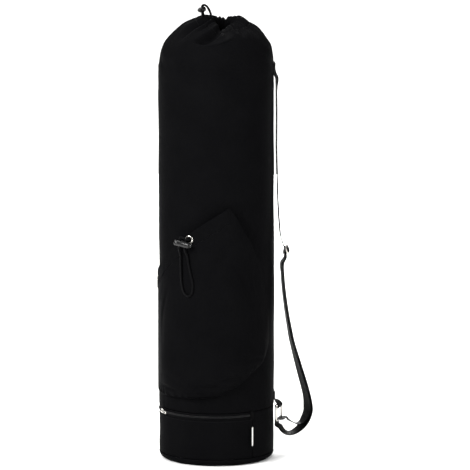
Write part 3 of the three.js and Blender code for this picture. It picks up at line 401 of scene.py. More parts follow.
# Die-cast zinc with bright nickel plate: clean reflections, faint orange peel and hairline scratches
nickelPlate, tree, shader = newMaterial("nickelPlate", Metallic=1.0)
shader.inputs["Base Color"].default_value = linear("#cfccc6")
roughen(tree, shader, objectNoise(tree, 6, 4.0, 0.6), 0.16, 0.1)
bump(tree, shader, objectNoise(tree, 1.1, 2.0), 0.12, 0.06)

# Moulded acetal cord lock: near black and glossy, with a fine spark-eroded grain
acetal, tree, shader = newMaterial("mouldedAcetal", **{
    "Coat Weight": 0.05, "Coat Roughness": 0.2, "Specular IOR Level": 0.28})
haze = objectNoise(tree, 5)
paint(tree, shader, haze, "#050506", "#0d0d0e")
roughen(tree, shader, haze, 0.1, 0.2)
bump(tree, shader, objectNoise(tree, 0.35, 2.0), 0.25, 0.05)

# Nylon zip coil: smooth drawn monofilament, black with small bright glints
nylonCoil, tree, shader = newMaterial("nylonCoil", **{"Coat Weight": 0.1, "Specular IOR Level": 0.2})
haze = objectNoise(tree, 3, 2.0)
paint(tree, shader, haze, "#070708", "#101012")
roughen(tree, shader, haze, 0.12, 0.27)

# Zip tape: a tight herringbone of fine polyester yarn, 0.7 mm to a row, nearly as dull as the cloth
zipTape, tree, shader = newMaterial("zipTape", **{"Roughness": 0.6, "Specular IOR Level": 0.015})
height, _ = wovenPattern(tree, 0.55, 0.7, math.radians(45))
paint(tree, shader, height, "#020203", "#0a0a0b")
bump(tree, shader, height, 0.6, 0.18)

# Bonded polyester sewing thread: two plies, a touch lighter than the cloth
sewingThread, tree, shader = newMaterial("sewingThread", **{
    "Roughness": 0.5, "Sheen Weight": 0.002, "Specular IOR Level": 0.05})
fleck = objectNoise(tree, 0.8, 2.0)
paint(tree, shader, fleck, "#080809", "#141415")
bump(tree, shader, fleck, 0.4, 0.1)

# Woven satin label, plain white: soft shine along its threads
satinLabel, tree, shader = newMaterial("satinLabel", **{"Roughness": 0.5, "Sheen Weight": 0.1})
height, _ = wovenPattern(tree, 0.5, 0.35)
paint(tree, shader, height, "#d9d8d3", "#f3f2ee")
bump(tree, shader, height, 0.4, 0.08)


def finishPiece(piece, body, material, slotName, *nodes):
    piece.data.materials.clear()
    piece.data.materials.append(material)
    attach(piece, body)
    if nodes:
        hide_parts(*nodes)


print("materials ready")

# Body with its gathered mouth

body = {
    "wall": 2.0, "bottom": 84.3, "domeStart": 620.0, "mouthRadius": 41.0, "mouthShift": (10.0, -3.0),
    "mouthLow": 683.0, "mouthRise": 14.0, "lean": 0.8, "foldDepth": 7.0, "hemReach": 23.0, "hemHigh": 6.2,
    "valleyDepth": 11.5, "valleyHalf": 13.0, "columns": 432, "straightRows": 34, "domeRows": 84, "hemRows": 40,
}
domeUp = [0, 0.17, 0.29, 0.4, 0.513, 0.6, 0.68, 0.76, 0.84, 0.92, 0.965, 1]
domeOut = [0.998, 0.985, 0.971, 0.945, 0.903, 0.855, 0.806, 0.75, 0.68, 0.594, 0.525,
           body["mouthRadius"] / bagRadius]
# at each 45 degrees round the mouth
mouthRises = [0, 0.15, 0.43, 0.5, 0.5, 0.8, 1, 0.45, 0]
hemRises = [0.75, 1, 1.8, 1.3, 0.8, 0.8, 0.8, 0.85, 0.75]
# pleats from the mouth down: angle, half width in degrees, depth share, start on the dome, drift in degrees
pleats = [
    (-8, 34, 0.25, 0.62, 0), (-60, 12, 1.1, 0.56, 8), (-40, 7, -0.35, 0.66, -6), (6, 8, 0.6, 0.78, 6),
    (14, 10, 0.55, 0.8, 4), (40, 11, 0.6, 0.78, -5), (66, 10, 0.55, 0.7, -4), (92, 11, 0.65, 0.72, 4),
    (118, 10, 0.8, 0.58, -5), (144, 11, 0.65, 0.7, 5), (170, 11, 0.9, 0.5, -4), (197, 10, 0.65, 0.68, 5),
    (222, 11, 0.85, 0.55, -6), (246, 10, 0.6, 0.7, 4), (270, 10, 0.65, 0.66, -3),
    (-36, 6, 0.5, 0.8, -4), (-50, 6, 0.3, 0.84, -6), (-80, 6, 0.35, 0.84, 2), (2, 6, 0.35, 0.88, -2),
    (27, 6, 0.36, 0.88, 2), (53, 6, 0.34, 0.86, 2), (79, 6, 0.38, 0.84, -2), (105, 6, 0.36, 0.82, 2),
    (131, 6, 0.38, 0.84, -2), (157, 6, 0.4, 0.82, 2), (184, 6, 0.38, 0.82, -2), (209, 6, 0.4, 0.84, 2),
    (234, 6, 0.38, 0.82, -2), (258, 6, 0.36, 0.84, 2),
]


def turnTable(values, angle):
    full = np.mod(angle, 360)
    i = (full // 45).astype(int)
    share = smoothStep(full / 45 - i, 0, 1)
    values = np.array(values)
    return values[i] * (1 - share) + values[i + 1] * share


def pleatDepth(angle, up):
    total = np.zeros(np.broadcast(angle, up).shape)
    for middle, width, depth, start, drift in pleats:
        away = np.mod(angle - middle - drift * (1 - up) / (1 - start) + 180, 360) - 180
        share = np.clip(1 - np.abs(away) / width, 0, 1)
        valley = 0.55 * share**1.5 + 0.45 * (0.5 - 0.5 * np.cos(math.pi * share))
        total += body["foldDepth"] * depth * valley * smoothStep(up, start, 1) ** 0.9
    # the deep valley left of the front, which ends all at once
    away = np.mod(angle + 20 - 11 * (up - 0.76) / 0.24 + 180, 360) - 180
    share = np.clip(1 - np.abs(away) / body["valleyHalf"], 0, 1)
    ends = smoothStep(up, 0.64, 0.75) * (1 - 0.3 * smoothStep(up, 0.86, 1))
    return total + body["valleyDepth"] * smoothStep(share, 0, 0.9) * ends


def bodySheet(angle):
    # profile lines of the body, one per angle: straight tube, then dome
    bottom, domeStart, rows = body["bottom"], body["domeStart"], body["straightRows"]
    straightZ = bottom + (domeStart - bottom) * np.linspace(0, 1, rows) ** 0.92
    edge = np.array([[-3.2, 0.15], [-1.6, 0.1], [-0.5, 0.6], [-0.08, 1.7]])
    ups = np.linspace(0, 1, body["domeRows"] + 1)[1:] ** 0.85
    neckZ = body["mouthLow"] + body["mouthRise"] * turnTable(mouthRises, angle)
    domeR = bagRadius * smoothTable(domeUp, domeOut, ups)
    r = np.concatenate([bagRadius + edge[:, 0], np.full(rows - 1, bagRadius), domeR])
    z0 = np.concatenate([bottom + edge[:, 1], straightZ[1:]])
    z = np.concatenate([np.repeat(z0[:, None], len(angle), axis=1),
                        domeStart + ups[:, None] * (neckZ - domeStart)])
    upAll = np.concatenate([np.zeros(len(z0)), ups])
    line = np.stack(np.broadcast_arrays(r[:, None], z), axis=-1)
    along = unit(np.gradient(line, axis=0))
    depth = pleatDepth(angle, upAll[:, None])
    line[..., 0] -= along[..., 1] * depth
    line[..., 1] += along[..., 0] * depth
    return line, upAll


def hemSheet(neck, angle):
    # drawcord channel: a puffed roll along the mouth, pinched by the cord, and its dip into the hollow
    share = np.linspace(0, 1, body["hemRows"] + 1)[1:, None]
    inKeys, upKeys = [0, 0.1, 0.3, 0.62, 0.88, 1.0, 1.06, 1.12], [0, 0.34, 0.7, 1.02, 0.72, 0.05, -1.0, -2.3]
    key = np.linspace(0, 1, len(inKeys))
    inward = smoothTable(key, inKeys, share)
    lift = smoothTable(key, upKeys, share)
    random = np.random.default_rng(11)
    pucker = np.zeros(len(angle))
    for waves, size in ((9, 0.5), (14, 1.0), (17, 0.55), (23, 0.4)):
        pucker += size * np.cos(np.radians(angle * waves) + random.uniform(0, 6.28))
    pucker = np.clip(0.5 + 0.28 * pucker, 0, 1) ** 0.8
    r = neck[:, 0] - inward * (body["hemReach"] - pleatDepth(angle, np.array(1.0)) * 0.3)
    r = r - smoothStep(share, 0.35, 1) * 1.8 * (1 - pucker)
    z = neck[:, 1] + lift * body["hemHigh"] * turnTable(hemRises, angle) * (0.66 + 0.34 * pucker)
    z = z - smoothStep(share, 0.8, 1) * 4 * (1 - pucker)
    return np.stack([r, z], axis=-1)


def placeSheet(line, ups, angle):  # profile lines set round the bag, which leans and shifts towards its mouth
    points = around(angle, line[..., 0], line[..., 1])
    points[..., 0] += (body["mouthShift"][0] * ups**3 + body["lean"] * np.sin(math.pi * ups))[:, None]
    points[..., 1] += (body["mouthShift"][1] * ups**3)[:, None]
    return points


angles = np.arange(body["columns"]) * 360 / body["columns"]
line, ups = bodySheet(angles)
hem = hemSheet(line[-1], angles)
line = np.concatenate([line, hem])
ups = np.concatenate([ups, np.ones(len(hem))])
# soft give of the cloth: long shallow hollows on the tube, more near the shoulder, puckers at the base seam
zAll = line[..., 1]
give = rolling(3, 7, angles, zAll, 90, 240, bagGirth) + rolling(8, 5, angles, zAll * 0.18, 60, 120, bagGirth)
calm = smoothStep(zAll, 100, 150) * (1 - smoothStep(ups, 0.75, 1))[:, None]
shoulder = smoothStep(zAll, 520, 640) * (1 - smoothStep(zAll, 690, 712))
line[..., 0] += 0.5 * calm * give + 0.25
line[..., 0] += 0.5 * shoulder * rolling(21, 6, angles, zAll * 1.6, 24, 60, bagGirth)
nearSeam = np.exp(-((zAll - body["bottom"]) / 9.0) ** 2) * (zAll > body["bottom"] + 1)
seamWave = np.sin(np.radians(angles * 38)) * rolling(5, 3, angles, zAll, 80, 200, bagGirth)
line[..., 0] += 0.35 * nearSeam * seamWave
# the crease that arcs under the front gathers
frontAngle = np.mod(angles + 180, 360) - 180
arcZ = 662.5 + 0.007 * (frontAngle + 22) ** 2
line[..., 0] += 2.7 * np.exp(-((zAll - arcZ) / 2.6) ** 2) * np.exp(-((frontAngle + 4) / 21) ** 4)
# the cloth sinks in beside the pocket's raised corner: short above its left edge, long beside its right one
runAll = np.radians(frontAngle) * bagRadius
across = (zAll - 411) * 0.95 - (runAll - 5) * 0.32
along = (runAll - 5) * 0.95 + (zAll - 411) * 0.32
line[..., 0] -= 3.2 * np.exp(-((across - 3.5) / 5) ** 2 - (along / 14) ** 2)
across = (runAll - 37) * 0.853 + (zAll - 401) * 0.521
along = (runAll - 37) * 0.521 - (zAll - 401) * 0.853
ends = smoothStep(along, -12, 8) * (1 - smoothStep(along, 55, 95))
line[..., 0] -= 2.8 * np.exp(-((across - 1) / 5) ** 2) * ends
outer = placeSheet(line, ups, angles)
normals = surfaceNormals(outer, closedColumns=True)
keep = np.unique(np.concatenate([np.arange(0, 38, 4), np.arange(38, len(outer), 3), [len(outer) - 1]]))
inner = (outer - normals * body["wall"] * np.where(ups > 0.98, 0.8, 1.0)[:, None, None])[keep][::-1]
run = lengths(outer[:, 0])
bodyUv = gridUv(np.linspace(0, 2 * math.pi * bagRadius, body["columns"] + 1),
                np.concatenate([run, run[keep][::-1], [0]]))
bodyMesh = gridMesh("bagBody", np.concatenate([outer, inner]), bodyUv, closedRows=True, closedColumns=True)
finishPiece(newObject("bagBody", bodyMesh), "bag", oxfordCloth, "polyester", "main_body", "gathered_hem")
print("body ready", len(bodyMesh.polygons))

# Base compartment

base = {
    "height": 84.0, "gap": 10.0, "corner": 10.5, "clear": 0.3, "wall": 2.0, "zipStart": -90.0, "zipEnd": 39.5,
}


def panelSheet(name, start, end, high, seed, rollTop):
    # upright cloth of the base: edges turned in at its seams, slight give between them
    low = base["corner"] + 0.3
    angle = np.linspace(start, end, int(end - start) + 1)
    z = low + (high - low) * (0.5 - 0.5 * np.cos(math.pi * np.linspace(0, 1, 44)))
    a, h = np.meshgrid(angle, z)
    middle = np.sin(math.pi * (h - low) / (high - low))
    radius = bagRadius - 0.35 + 0.35 * middle * rolling(seed, 6, a, h * 1.4, 50, 140, bagGirth)
    radius -= 0.9 * np.exp(-(h - low) / 0.8) + rollTop * np.exp(-(high - h) / 0.9)
    radius += 0.16 * np.exp(-((high - h) / 7) ** 2) * np.sin(np.radians(a * 41))
    radius -= 0.7 * np.exp(-np.minimum(a - start, end - a) / 0.45)
    points = around(a, radius, h)
    return walled(name, points, wrapUv(a, h), base["wall"] * 0.85), points


def degreesOnBag(length):
    return math.degrees(length / bagRadius)


gapAngle = degreesOnBag(base["clear"])
frontSpan = base["zipStart"] + gapAngle, base["zipEnd"] - gapAngle
zipLow = base["height"] - base["gap"]
frontPanel, frontPoints = panelSheet("baseFront", *frontSpan, zipLow, 31, 0.7)
finishPiece(frontPanel, "bag", oxfordCloth, "polyester", "base_front_panel")
backPanel, _ = panelSheet("baseBack", base["zipEnd"], base["zipStart"] + 360, base["height"], 32, 1.1)
finishPiece(backPanel, "bag", oxfordCloth, "polyester", "base_back_panel")


def bottomProfile():
    corner, wall = base["corner"], base["wall"]
    bend = [(1 - math.sin(t), 1 - math.cos(t)) for t in np.linspace(0, math.pi / 2, 12)]
    outer = [(bagRadius - corner * side, corner * up) for side, up in bend[:-1]] + [(89.2, corner - 0.05)]
    inner = [(88 - corner * side * 0.9, wall + corner * up * 0.8) for side, up in bend[-2::-1]]
    return ([(r, 0.0) for r in np.linspace(0, 78, 12)] + outer + [(88.0, corner - 0.3)] + inner
            + [(r, wall) for r in np.linspace(78, 0, 8)[1:]])


finishPiece(lathed("baseBottom", bottomProfile(), 180), "bag", oxfordCloth, "polyester", "base_bottom")
floorLow, floorTop = 84.35, 86.2
floorProfile = [(0, floorLow)] + [(r, floorLow) for r in np.linspace(8, 86.6, 14)] + [(87.5, 85.2)]
floorProfile += [(86.6, floorTop)] + [(r, floorTop) for r in np.linspace(80, 0, 12)]
floorCloth = lathed("compartmentFloor", floorProfile, 120)
finishPiece(floorCloth, "bag", liningCloth, "polyester", "compartment_floor")
print("base ready")

# What repeats: zip teeth and stitches along lines


def repeatTree(name, material, faceOut):
    # small rounded pieces set along lines at an even pitch
    tree = bpy.data.node_groups.new(name, "GeometryNodeTree")
    for socket, kind in (("Geometry", "Geometry"), ("pitch", "Float"), ("size", "Vector")):
        tree.interface.new_socket(name=socket, in_out="INPUT", socket_type=f"NodeSocket{kind}")
    tree.interface.new_socket(name="Geometry", in_out="OUTPUT", socket_type="NodeSocketGeometry")
    entry = addNode(tree, "NodeGroupInput")
    curve = addNode(tree, "GeometryNodeMeshToCurve", [(0, entry.outputs["Geometry"])])
    even = addNode(tree, "GeometryNodeResampleCurve", [
        ("Curve", curve.outputs[0]), ("Length", entry.outputs["pitch"])], mode="LENGTH")
    ball = addNode(tree, "GeometryNodeMeshUVSphere", [("Segments", 8), ("Rings", 6), ("Radius", 0.5)])
    tangent = addNode(tree, "GeometryNodeInputTangent")
    turn = addNode(tree, "FunctionNodeAlignRotationToVector", [("Vector", tangent.outputs[0])], axis="X")
    rotation = turn.outputs[0]
    if faceOut:
        place = addNode(tree, "GeometryNodeInputPosition")
        flat = addNode(tree, "ShaderNodeVectorMath", [(0, place.outputs[0]), (1, (1, 1, 0))],
                       operation="MULTIPLY")
        rotation = addNode(tree, "FunctionNodeAlignRotationToVector", [
            ("Rotation", rotation), ("Vector", flat.outputs[0])], axis="Z", pivot_axis="X").outputs[0]
    pieces = addNode(tree, "GeometryNodeInstanceOnPoints", [
        ("Points", even.outputs[0]), ("Instance", ball.outputs["Mesh"]), ("Rotation", rotation),
        ("Scale", entry.outputs["size"])])
    real = addNode(tree, "GeometryNodeRealizeInstances", [(0, pieces.outputs[0])])
    smooth = addNode(tree, "GeometryNodeSetShadeSmooth", [(0, real.outputs[0])])
    finish = addNode(tree, "GeometryNodeSetMaterial", [(0, smooth.outputs[0]), ("Material", material)])
    addNode(tree, "NodeGroupOutput", [(0, finish.outputs[0])])
    return tree


def repeated(name, lines, tree, pitch, size):
    mesh = bpy.data.meshes.new(name)
    spots, edges = [], []
    for points in lines:
        first = len(spots)
        spots += [Vector(point) * mm for point in points]
        edges += [(first + i, first + i + 1) for i in range(len(points) - 1)]
    mesh.from_pydata(spots, edges, [])
    piece = newObject(name, mesh)
    modifier = piece.modifiers.new("along", "NODES")
    modifier.node_group = tree
    keys = {item.name: item.identifier for item in tree.interface.items_tree if item.in_out == "INPUT"}
    modifier[keys["pitch"]] = pitch * mm
    modifier[keys["size"]] = [value * mm for value in size]
    return frozen(piece)


toothTree = repeatTree("toothRow", nylonCoil, True)
stitchTree = repeatTree("stitchRow", sewingThread, False)

# Zips

zips = {
    "tapeWall": 0.9, "pitch": 1.45, "toothSize": (1.0, 2.15, 1.05), "toothOffset": 0.82,
    "sideAngle": -104.0, "sideLow": 112.0, "sideHigh": 288.0, "sideWidth": 15.0,
}


def tapeSheet(name, start, end, low, high, radius):
    a, h = np.meshgrid(np.linspace(start, end, max(int((end - start) / 1.2), 10) + 1),
                       np.linspace(low, high, max(int((high - low) / 2.4), 12) + 1))
    return walled(name, around(a, radius, h), wrapUv(a, h), zips["tapeWall"] * 0.85)


clear = base["clear"]
baseTape = tapeSheet("baseZipTape", *frontSpan, zipLow + clear, base["height"] - clear, bagRadius - clear)
finishPiece(baseTape, "bag", zipTape, "zip", "base_zip_tape")
sideHalf = degreesOnBag(zips["sideWidth"] / 2)
sideTape = tapeSheet("sideZipTape", zips["sideAngle"] - sideHalf, zips["sideAngle"] + sideHalf,
                     zips["sideLow"], zips["sideHigh"], onBag + zips["tapeWall"])
finishPiece(sideTape, "bag", zipTape, "zip", "side_zip_tape")

coilRadius = bagRadius + 0.55
baseZipZ = base["height"] - base["gap"] / 2
arc = np.linspace(base["zipStart"] + 2, base["zipEnd"] - 4.6, 200)
lateArc = arc + degreesOnBag(zips["pitch"] / 2)
baseTeeth = [around(arc, coilRadius, baseZipZ + zips["toothOffset"]),
             around(lateArc, coilRadius, baseZipZ - zips["toothOffset"])]
coilRadius = onBag + zips["tapeWall"] + 0.8
upZip = np.linspace(zips["sideLow"] + 2.5, zips["sideHigh"] - 2.8, 120)
halfTurn = math.degrees(zips["toothOffset"] / coilRadius)
sideTeeth = [around(zips["sideAngle"] - halfTurn, coilRadius, upZip),
             around(zips["sideAngle"] + halfTurn, coilRadius, upZip + zips["pitch"] / 2)]
for side, teeth in (("base", baseTeeth), ("side", sideTeeth)):
    coil = repeated(f"{side}ZipCoil", teeth, toothTree, zips["pitch"], zips["toothSize"])
    finishPiece(coil, "bag", nylonCoil, "zip", f"{side}_zip_coil")

for side, carrier in (("base", "base_puller"), ("side", "side_puller")):
    slider, puller = f"{side}_zip_slider", f"{side}_zip_puller"
    finishPiece(refined(f"{side}ZipSlider", slider, 0.32), "bag", nickelPlate, "nickel", slider)
    finishPiece(refined(f"{side}ZipPuller", puller, 0.22), carrier, nickelPlate, "nickel", puller)
print("zips ready")

# Draped pocket

pocket = {
    "left": -92.0, "right": 64.0, "bottom": 105.0, "top": 411.0, "depth": 16.0, "wall": 1.4, "hem": 26.0,
    "peak": 0.666, "stitchDown": 24.3, "columns": 250,
}
pocketHeight = pocket["top"] - pocket["bottom"]
acrossKeys = [0, 0.104, 0.178, 0.246, 0.315, 0.38, 0.455, 0.547, 0.61,
              0.666, 0.707, 0.755, 0.817, 0.847, 0.897, 0.938, 1]
bottomShare = [0.02, 0.006, 0.003, 0.002, 0.003, 0.005, 0.008, 0.017, 0.028,
               0.05, 0.064, 0.092, 0.132, 0.146, 0.17, 0.205, 0.289]
topShare = [0.605, 0.659, 0.694, 0.743, 0.791, 0.831, 0.878, 0.935, 0.969,
            1, 0.95, 0.876, 0.804, 0.752, 0.698, 0.583, 0.474]
liftShare = [0, 0.03, 0.1, 0.2, 0.32, 0.42, 0.5, 0.58, 0.62, 0.62, 0.6, 0.48, 0.27, 0.17, 0.08, 0.03, 0]
bellyShare = [0, 0.06, 0.25, 0.48, 0.7, 0.85, 1, 1, 1, 0.98, 0.95, 0.88, 0.72, 0.6, 0.42, 0.24, 0]
swellUp = [0, 0.012, 0.035, 0.08, 0.16, 0.3, 0.48, 0.66, 0.82, 0.93]
swellFull = [0, 0.42, 0.72, 0.92, 1, 0.94, 0.82, 0.7, 0.62, 0.58]
# middle along the girth and its height, length, half width, tilt in degrees, height of the fold
pocketCreases = [
    (46, 170, 26, 3.2, 4, -2.0), (-72, 121, 20, 3.0, -6, -1.8), (-50, 132, 24, 4.5, -24, -1.6),
    (28, 142, 30, 4.2, 14, -1.7), (4, 128, 34, 3.6, -3, -1.5), (-20, 205, 34, 7, 38, -1.2),
    (38, 300, 30, 6, -62, -1.6), (60, 250, 26, 5, -70, -1.2), (-96, 240, 34, 5, 78, -1.2),
    (8, 330, 34, 7, 58, -1.3),
]


def crease(arc, z, arcMiddle, zMiddle, length, wide, tilt, depth):
    t = math.radians(tilt)
    u = (arc - arcMiddle) * math.cos(t) + (z - zMiddle) * math.sin(t)
    v = (z - zMiddle) * math.cos(t) - (arc - arcMiddle) * math.sin(t) + 0.004 * u * u
    ridge = 0.55 * np.exp(-((v - 1.7 * wide) / wide) ** 2)
    return depth * np.exp(-(u / length) ** 2) * (np.exp(-(v / wide) ** 2) - ridge)


def pocketEdges(across):  # heights of the bottom seam and of the open edge
    return (pocket["bottom"] + pocketHeight * smoothTable(acrossKeys, bottomShare, across),
            pocket["bottom"] + pocketHeight * np.interp(across, acrossKeys, topShare))


def pocketPoints(across, up):
    low, high = pocketEdges(across)
    z = low + (high - low) * up
    down = high - z  # mm below the edge
    swell = smoothTable(acrossKeys, bellyShare, across) * smoothTable(swellUp, swellFull, up)
    ease = smoothStep(up, swellUp[-1] - 0.35, 1)
    standOff = swell * (1 - ease) + smoothTable(acrossKeys, liftShare, across) * ease
    angle = pocket["left"] + across * (pocket["right"] - pocket["left"])
    radius = onBag + pocket["wall"] + pocket["depth"] * standOff
    free = np.clip(standOff * 3, 0, 1) * smoothStep(up, 0, 0.05)
    arc = np.radians(angle) * bagRadius
    # slack of the cloth: slanting pulls from the low left corner to the peak, and soft creases
    slant = (z - low) - 0.9 * (arc + 120)
    radius += free * 0.9 * np.sin(slant / 34) * smoothStep(up, 0.15, 0.5) * smoothStep(down, 8, 60)
    radius += free * 0.75 * rolling(14, 7, arc * 1.5, z * 0.8, 34, 90)
    radius += free * sum(crease(arc, z, *row) for row in pocketCreases)
    # the hem: doubled cloth down to its stitches, gathered a little by the cord
    hemmed = across < pocket["peak"] + 0.004
    hemBand = hemmed * (1 - smoothStep(down, pocket["hem"] - 3.3, pocket["hem"] - 1.9))
    gather = np.sin(arc / 3.4 + 0.8 * np.sin(arc / 7.1)) * smoothStep(down, 6, 22)
    radius += hemBand * (0.75 + 0.3 * gather)
    radius -= 0.5 * hemmed * np.exp(-((down - pocket["stitchDown"]) / 0.9) ** 2)
    # puckers where the bottom is gathered into its seam
    middle = smoothStep(across, 0.02, 0.12) * (1 - smoothStep(across, 0.85, 0.98))
    pucker = middle * np.exp(-((z - low) / 9) ** 2) * smoothStep(z - low, 0.4, 3)
    radius += 0.9 * pucker * np.sin(arc / 2.3 + 1.2 * np.sin(arc / 8.0))
    return angle, np.maximum(radius, onBag + pocket["wall"]), z


acrossLine = np.unique(np.concatenate([np.linspace(0, 1, pocket["columns"]), [0.661, 0.666, 0.671]]))
upLine = np.concatenate([np.linspace(0, 0.1, 34)[:-1] ** 1.15 / 0.1**0.15, np.linspace(0.1, 0.88, 62)[:-1],
                         np.linspace(0.88, 1, 46)])
acrossGrid, upGrid = np.meshgrid(acrossLine, upLine)
angleP, radiusP, zP = pocketPoints(acrossGrid, upGrid)
edgeGap = np.interp(acrossGrid, acrossKeys, np.subtract(topShare, bottomShare))
down = (1 - upGrid) * pocketHeight * edgeGap
doubled = (acrossGrid < pocket["peak"] + 0.004) * (1 - smoothStep(down, pocket["hem"] - 3, pocket["hem"]))
thick = np.minimum(pocket["wall"] + 0.9 * doubled, radiusP - bagRadius - 0.25) * 0.94
pocketCloth = walled("pocketCloth", around(angleP, radiusP, zP), wrapUv(angleP, zP), thick)
finishPiece(pocketCloth, "bag", oxfordCloth, "polyester", "pocket_panel", "pocket_hem")
print("pocket ready", len(pocketCloth.data.polygons))

# Eyelet in the pocket's hem

eye = {"across": 0.43, "down": 8.3, "out": 0.55}
eyeAngle = pocket["left"] + eye["across"] * (pocket["right"] - pocket["left"])
eyeLift = float(np.interp(eye["across"], acrossKeys, liftShare)) * pocket["depth"]
eyeAt = around(eyeAngle, onBag + pocket["wall"] + eyeLift + eye["out"],
               pocketEdges(eye["across"])[1] - eye["down"])
eyeBasis = [around(eyeAngle + 90, 1.0, 0.0), [0, 0, 1], around(eyeAngle, 1.0, 0.0)]
rim = [
    (6.7, 0.35), (6.62, 0.75), (6.3, 1.1), (5.8, 1.35), (5.2, 1.45), (4.7, 1.4), (4.25, 1.2), (3.95, 0.85),
    (3.82, 0.4), (3.8, -0.2), (3.8, -4.9), (3.9, -5.05), (6.0, -5.05), (6.2, -4.9), (6.1, -4.5), (4.5, -4.5),
    (4.4, -4.3), (4.4, -0.3), (4.5, 0.0), (6.4, 0.0), (6.65, 0.1), (6.7, 0.35),
]
finishPiece(lathed("pocketEyelet", rim, 56, eyeBasis, eyeAt), "bag", nickelPlate, "nickel", "pocket_eyelet")

# Cord locks and drawcords

locks = {
    "pocket": {"at": (-52.65, -91.19, 353.8), "along": (0.86, -0.49, -0.13), "way": (0.13, 0, 0.99),
               "radius": 4.7, "length": 27.0, "shift": 0.0, "gap": 10.0},
    "top": {"at": (-22.15, -13.0, 710.0), "along": (-0.45, -0.89, 0), "way": (0, 0, 1),
            "radius": 4.3, "length": 14.0, "shift": -1.6, "gap": 3.8},
    "cord": cordDiameter, "hole": cordDiameter + 0.6, "plungerOut": 3.6, "travel": 2.2,
}


def ovalBar(name, wide, long, deep, basis, at):
    turn = circle(32)
    x = wide / 2 * np.cos(turn)
    z = wide / 2 * np.sin(turn) + np.sign(np.sin(turn)) * (long - wide) / 2
    rings = np.array([[(a, h, b) for a, b in zip(x, z)] for h in (-deep / 2, deep / 2)])
    return rod(name, rings @ np.array(basis, float) + np.array(at, float), np.zeros((3, len(turn) + 1, 2)))


def lockPieces(side):
    spec = locks[side]
    along = unit(spec["along"])
    way = unit(np.array(spec["way"]) - along * along.dot(spec["way"]))
    basis = [np.cross(way, along), way, along]
    radius, half, shift = spec["radius"], spec["length"] / 2, spec["shift"]
    low = [(0, 0), (0.6, 0), (0.84, 0.35), (0.96, 1.1), (1, 2.2), (1, 4), (0.965, 4.5), (0.965, 5), (1, 5.5)]
    high = [(1, 2.6), (0.97, 1.4), (0.9, 0.5), (0.78, 0), (0, 0)]
    profile = [(radius * r, up - half) for r, up in low] + [(radius * r, half - down) for r, down in high]
    barrel = lathed(f"{side}LockBarrel", profile, 56, basis, spec["at"])
    passageLong = spec["gap"] + locks["hole"]
    middle = np.array(spec["at"]) + along * shift
    boreLow = shift + passageLong / 2 - 1
    bore = [(0, boreLow), (3.1, boreLow), (3.1, half + 1), (0, half + 1)]
    tools = [ovalBar("passageCutter", locks["hole"], passageLong, 4 * radius, basis, middle),
             lathed("boreCutter", bore, 40, basis, spec["at"])]
    for tool in tools:
        cut = barrel.modifiers.new("cut", "BOOLEAN")
        cut.operation, cut.solver, cut.object = "DIFFERENCE", "EXACT", tool
    bevelled(barrel, 0.28, 2, 45)
    for tool in tools:
        old = tool.data
        bpy.data.objects.remove(tool)
        bpy.data.meshes.remove(old)
    back = shift + passageLong / 2 + locks["travel"] + 0.3
    front = half + locks["plungerOut"]
    head = [(0, back), (2.7, back), (2.8, back + 0.15), (2.8, front - 0.95), (2.7, front - 0.5),
            (2.4, front - 0.15), (2.0, front), (1.2, front), (1.0, front - 0.2), (0, front - 0.2)]
    button = lathed(f"{side}LockButton", head, 44, basis, spec["at"])
    for piece in (barrel, button):
        shadeByAngle(piece.data, 45)
    finishPiece(barrel, "bag", acetal, "lock", f"{side}_lock_body")
    finishPiece(button, f"{side}_button", acetal, "lock", f"{side}_lock_button")
    return [barrel, button]


pocketCordPoints = [
    (-41, -83.9, 360.6), (-42.7, -87.7, 360.6), (-44.4, -91.4, 360.6), (-47.1, -93.5, 361.5),
    (-50.2, -93.4, 363.2), (-53.4, -91.6, 364.2), (-56, -90, 363.5), (-56, -88.8, 361),
    (-57, -88.7, 354.5), (-57.9, -88.7, 348.3), (-55.4, -84, 333.4), (-55.2, -84.4, 324),
    (-54.9, -85, 314.5), (-54.6, -85.8, 303.6), (-54, -86.9, 292.6), (-52.1, -88.9, 282.7),
    (-48.4, -92, 274.8), (-43.2, -95.4, 272.2), (-38.5, -97.7, 276.7), (-36.6, -98, 285.8),
    (-37.2, -97.2, 295.2), (-39.3, -95.6, 304.5), (-41.8, -93.6, 315.3), (-43.7, -92.2, 325.3),
    (-44.9, -91.2, 333.9), (-49.2, -93.6, 347), (-48.3, -93.6, 353.1), (-47.6, -93.7, 357.4),
    (-47.3, -94, 359.6), (-46.6, -95.9, 361.9), (-43.5, -96.5, 361.9), (-41.5, -93.8, 360.7),
    (-39.4, -89.2, 360.6), (-37.6, -85.5, 360.6),
]
topCordPoints = [
    (-21.2, -12.4, 694.5), (-21.6, -12.7, 699), (-22, -12.9, 704), (-22.15, -13, 709.5), (-22.3, -13, 714),
    (-20.8, -13, 716.6), (-18, -13.2, 717), (-14.8, -13.5, 715.2), (-11.8, -14, 710.4), (-9.5, -14.3, 705.6),
    (-8.3, -13.6, 702), (-8, -11.2, 700.5), (-8.3, -8.4, 701.4), (-9.4, -6.9, 704.8), (-11.4, -6.8, 709.4),
    (-13.8, -7.4, 713), (-16.2, -8.4, 715.6), (-19.3, -9.2, 716.6), (-20.75, -10.1, 715),
    (-20.7, -10.15, 709.5), (-20.3, -10.2, 704.5), (-19.6, -10.3, 699.5), (-18.9, -10.3, 694.8),
]
for side, points in (("pocket", pocketCordPoints), ("top", topCordPoints)):
    cordPieces = lockPieces(side)
    cordPiece, path, length = tube(f"{side}Cord", points, locks["cord"], 16, 0.7)
    finishPiece(cordPiece, "bag", braidedCord, "cord", f"{side}_cord")
    print(side, "cord", round(length, 1), "mm")

# Shoulder strap, its adjuster, ring and tab

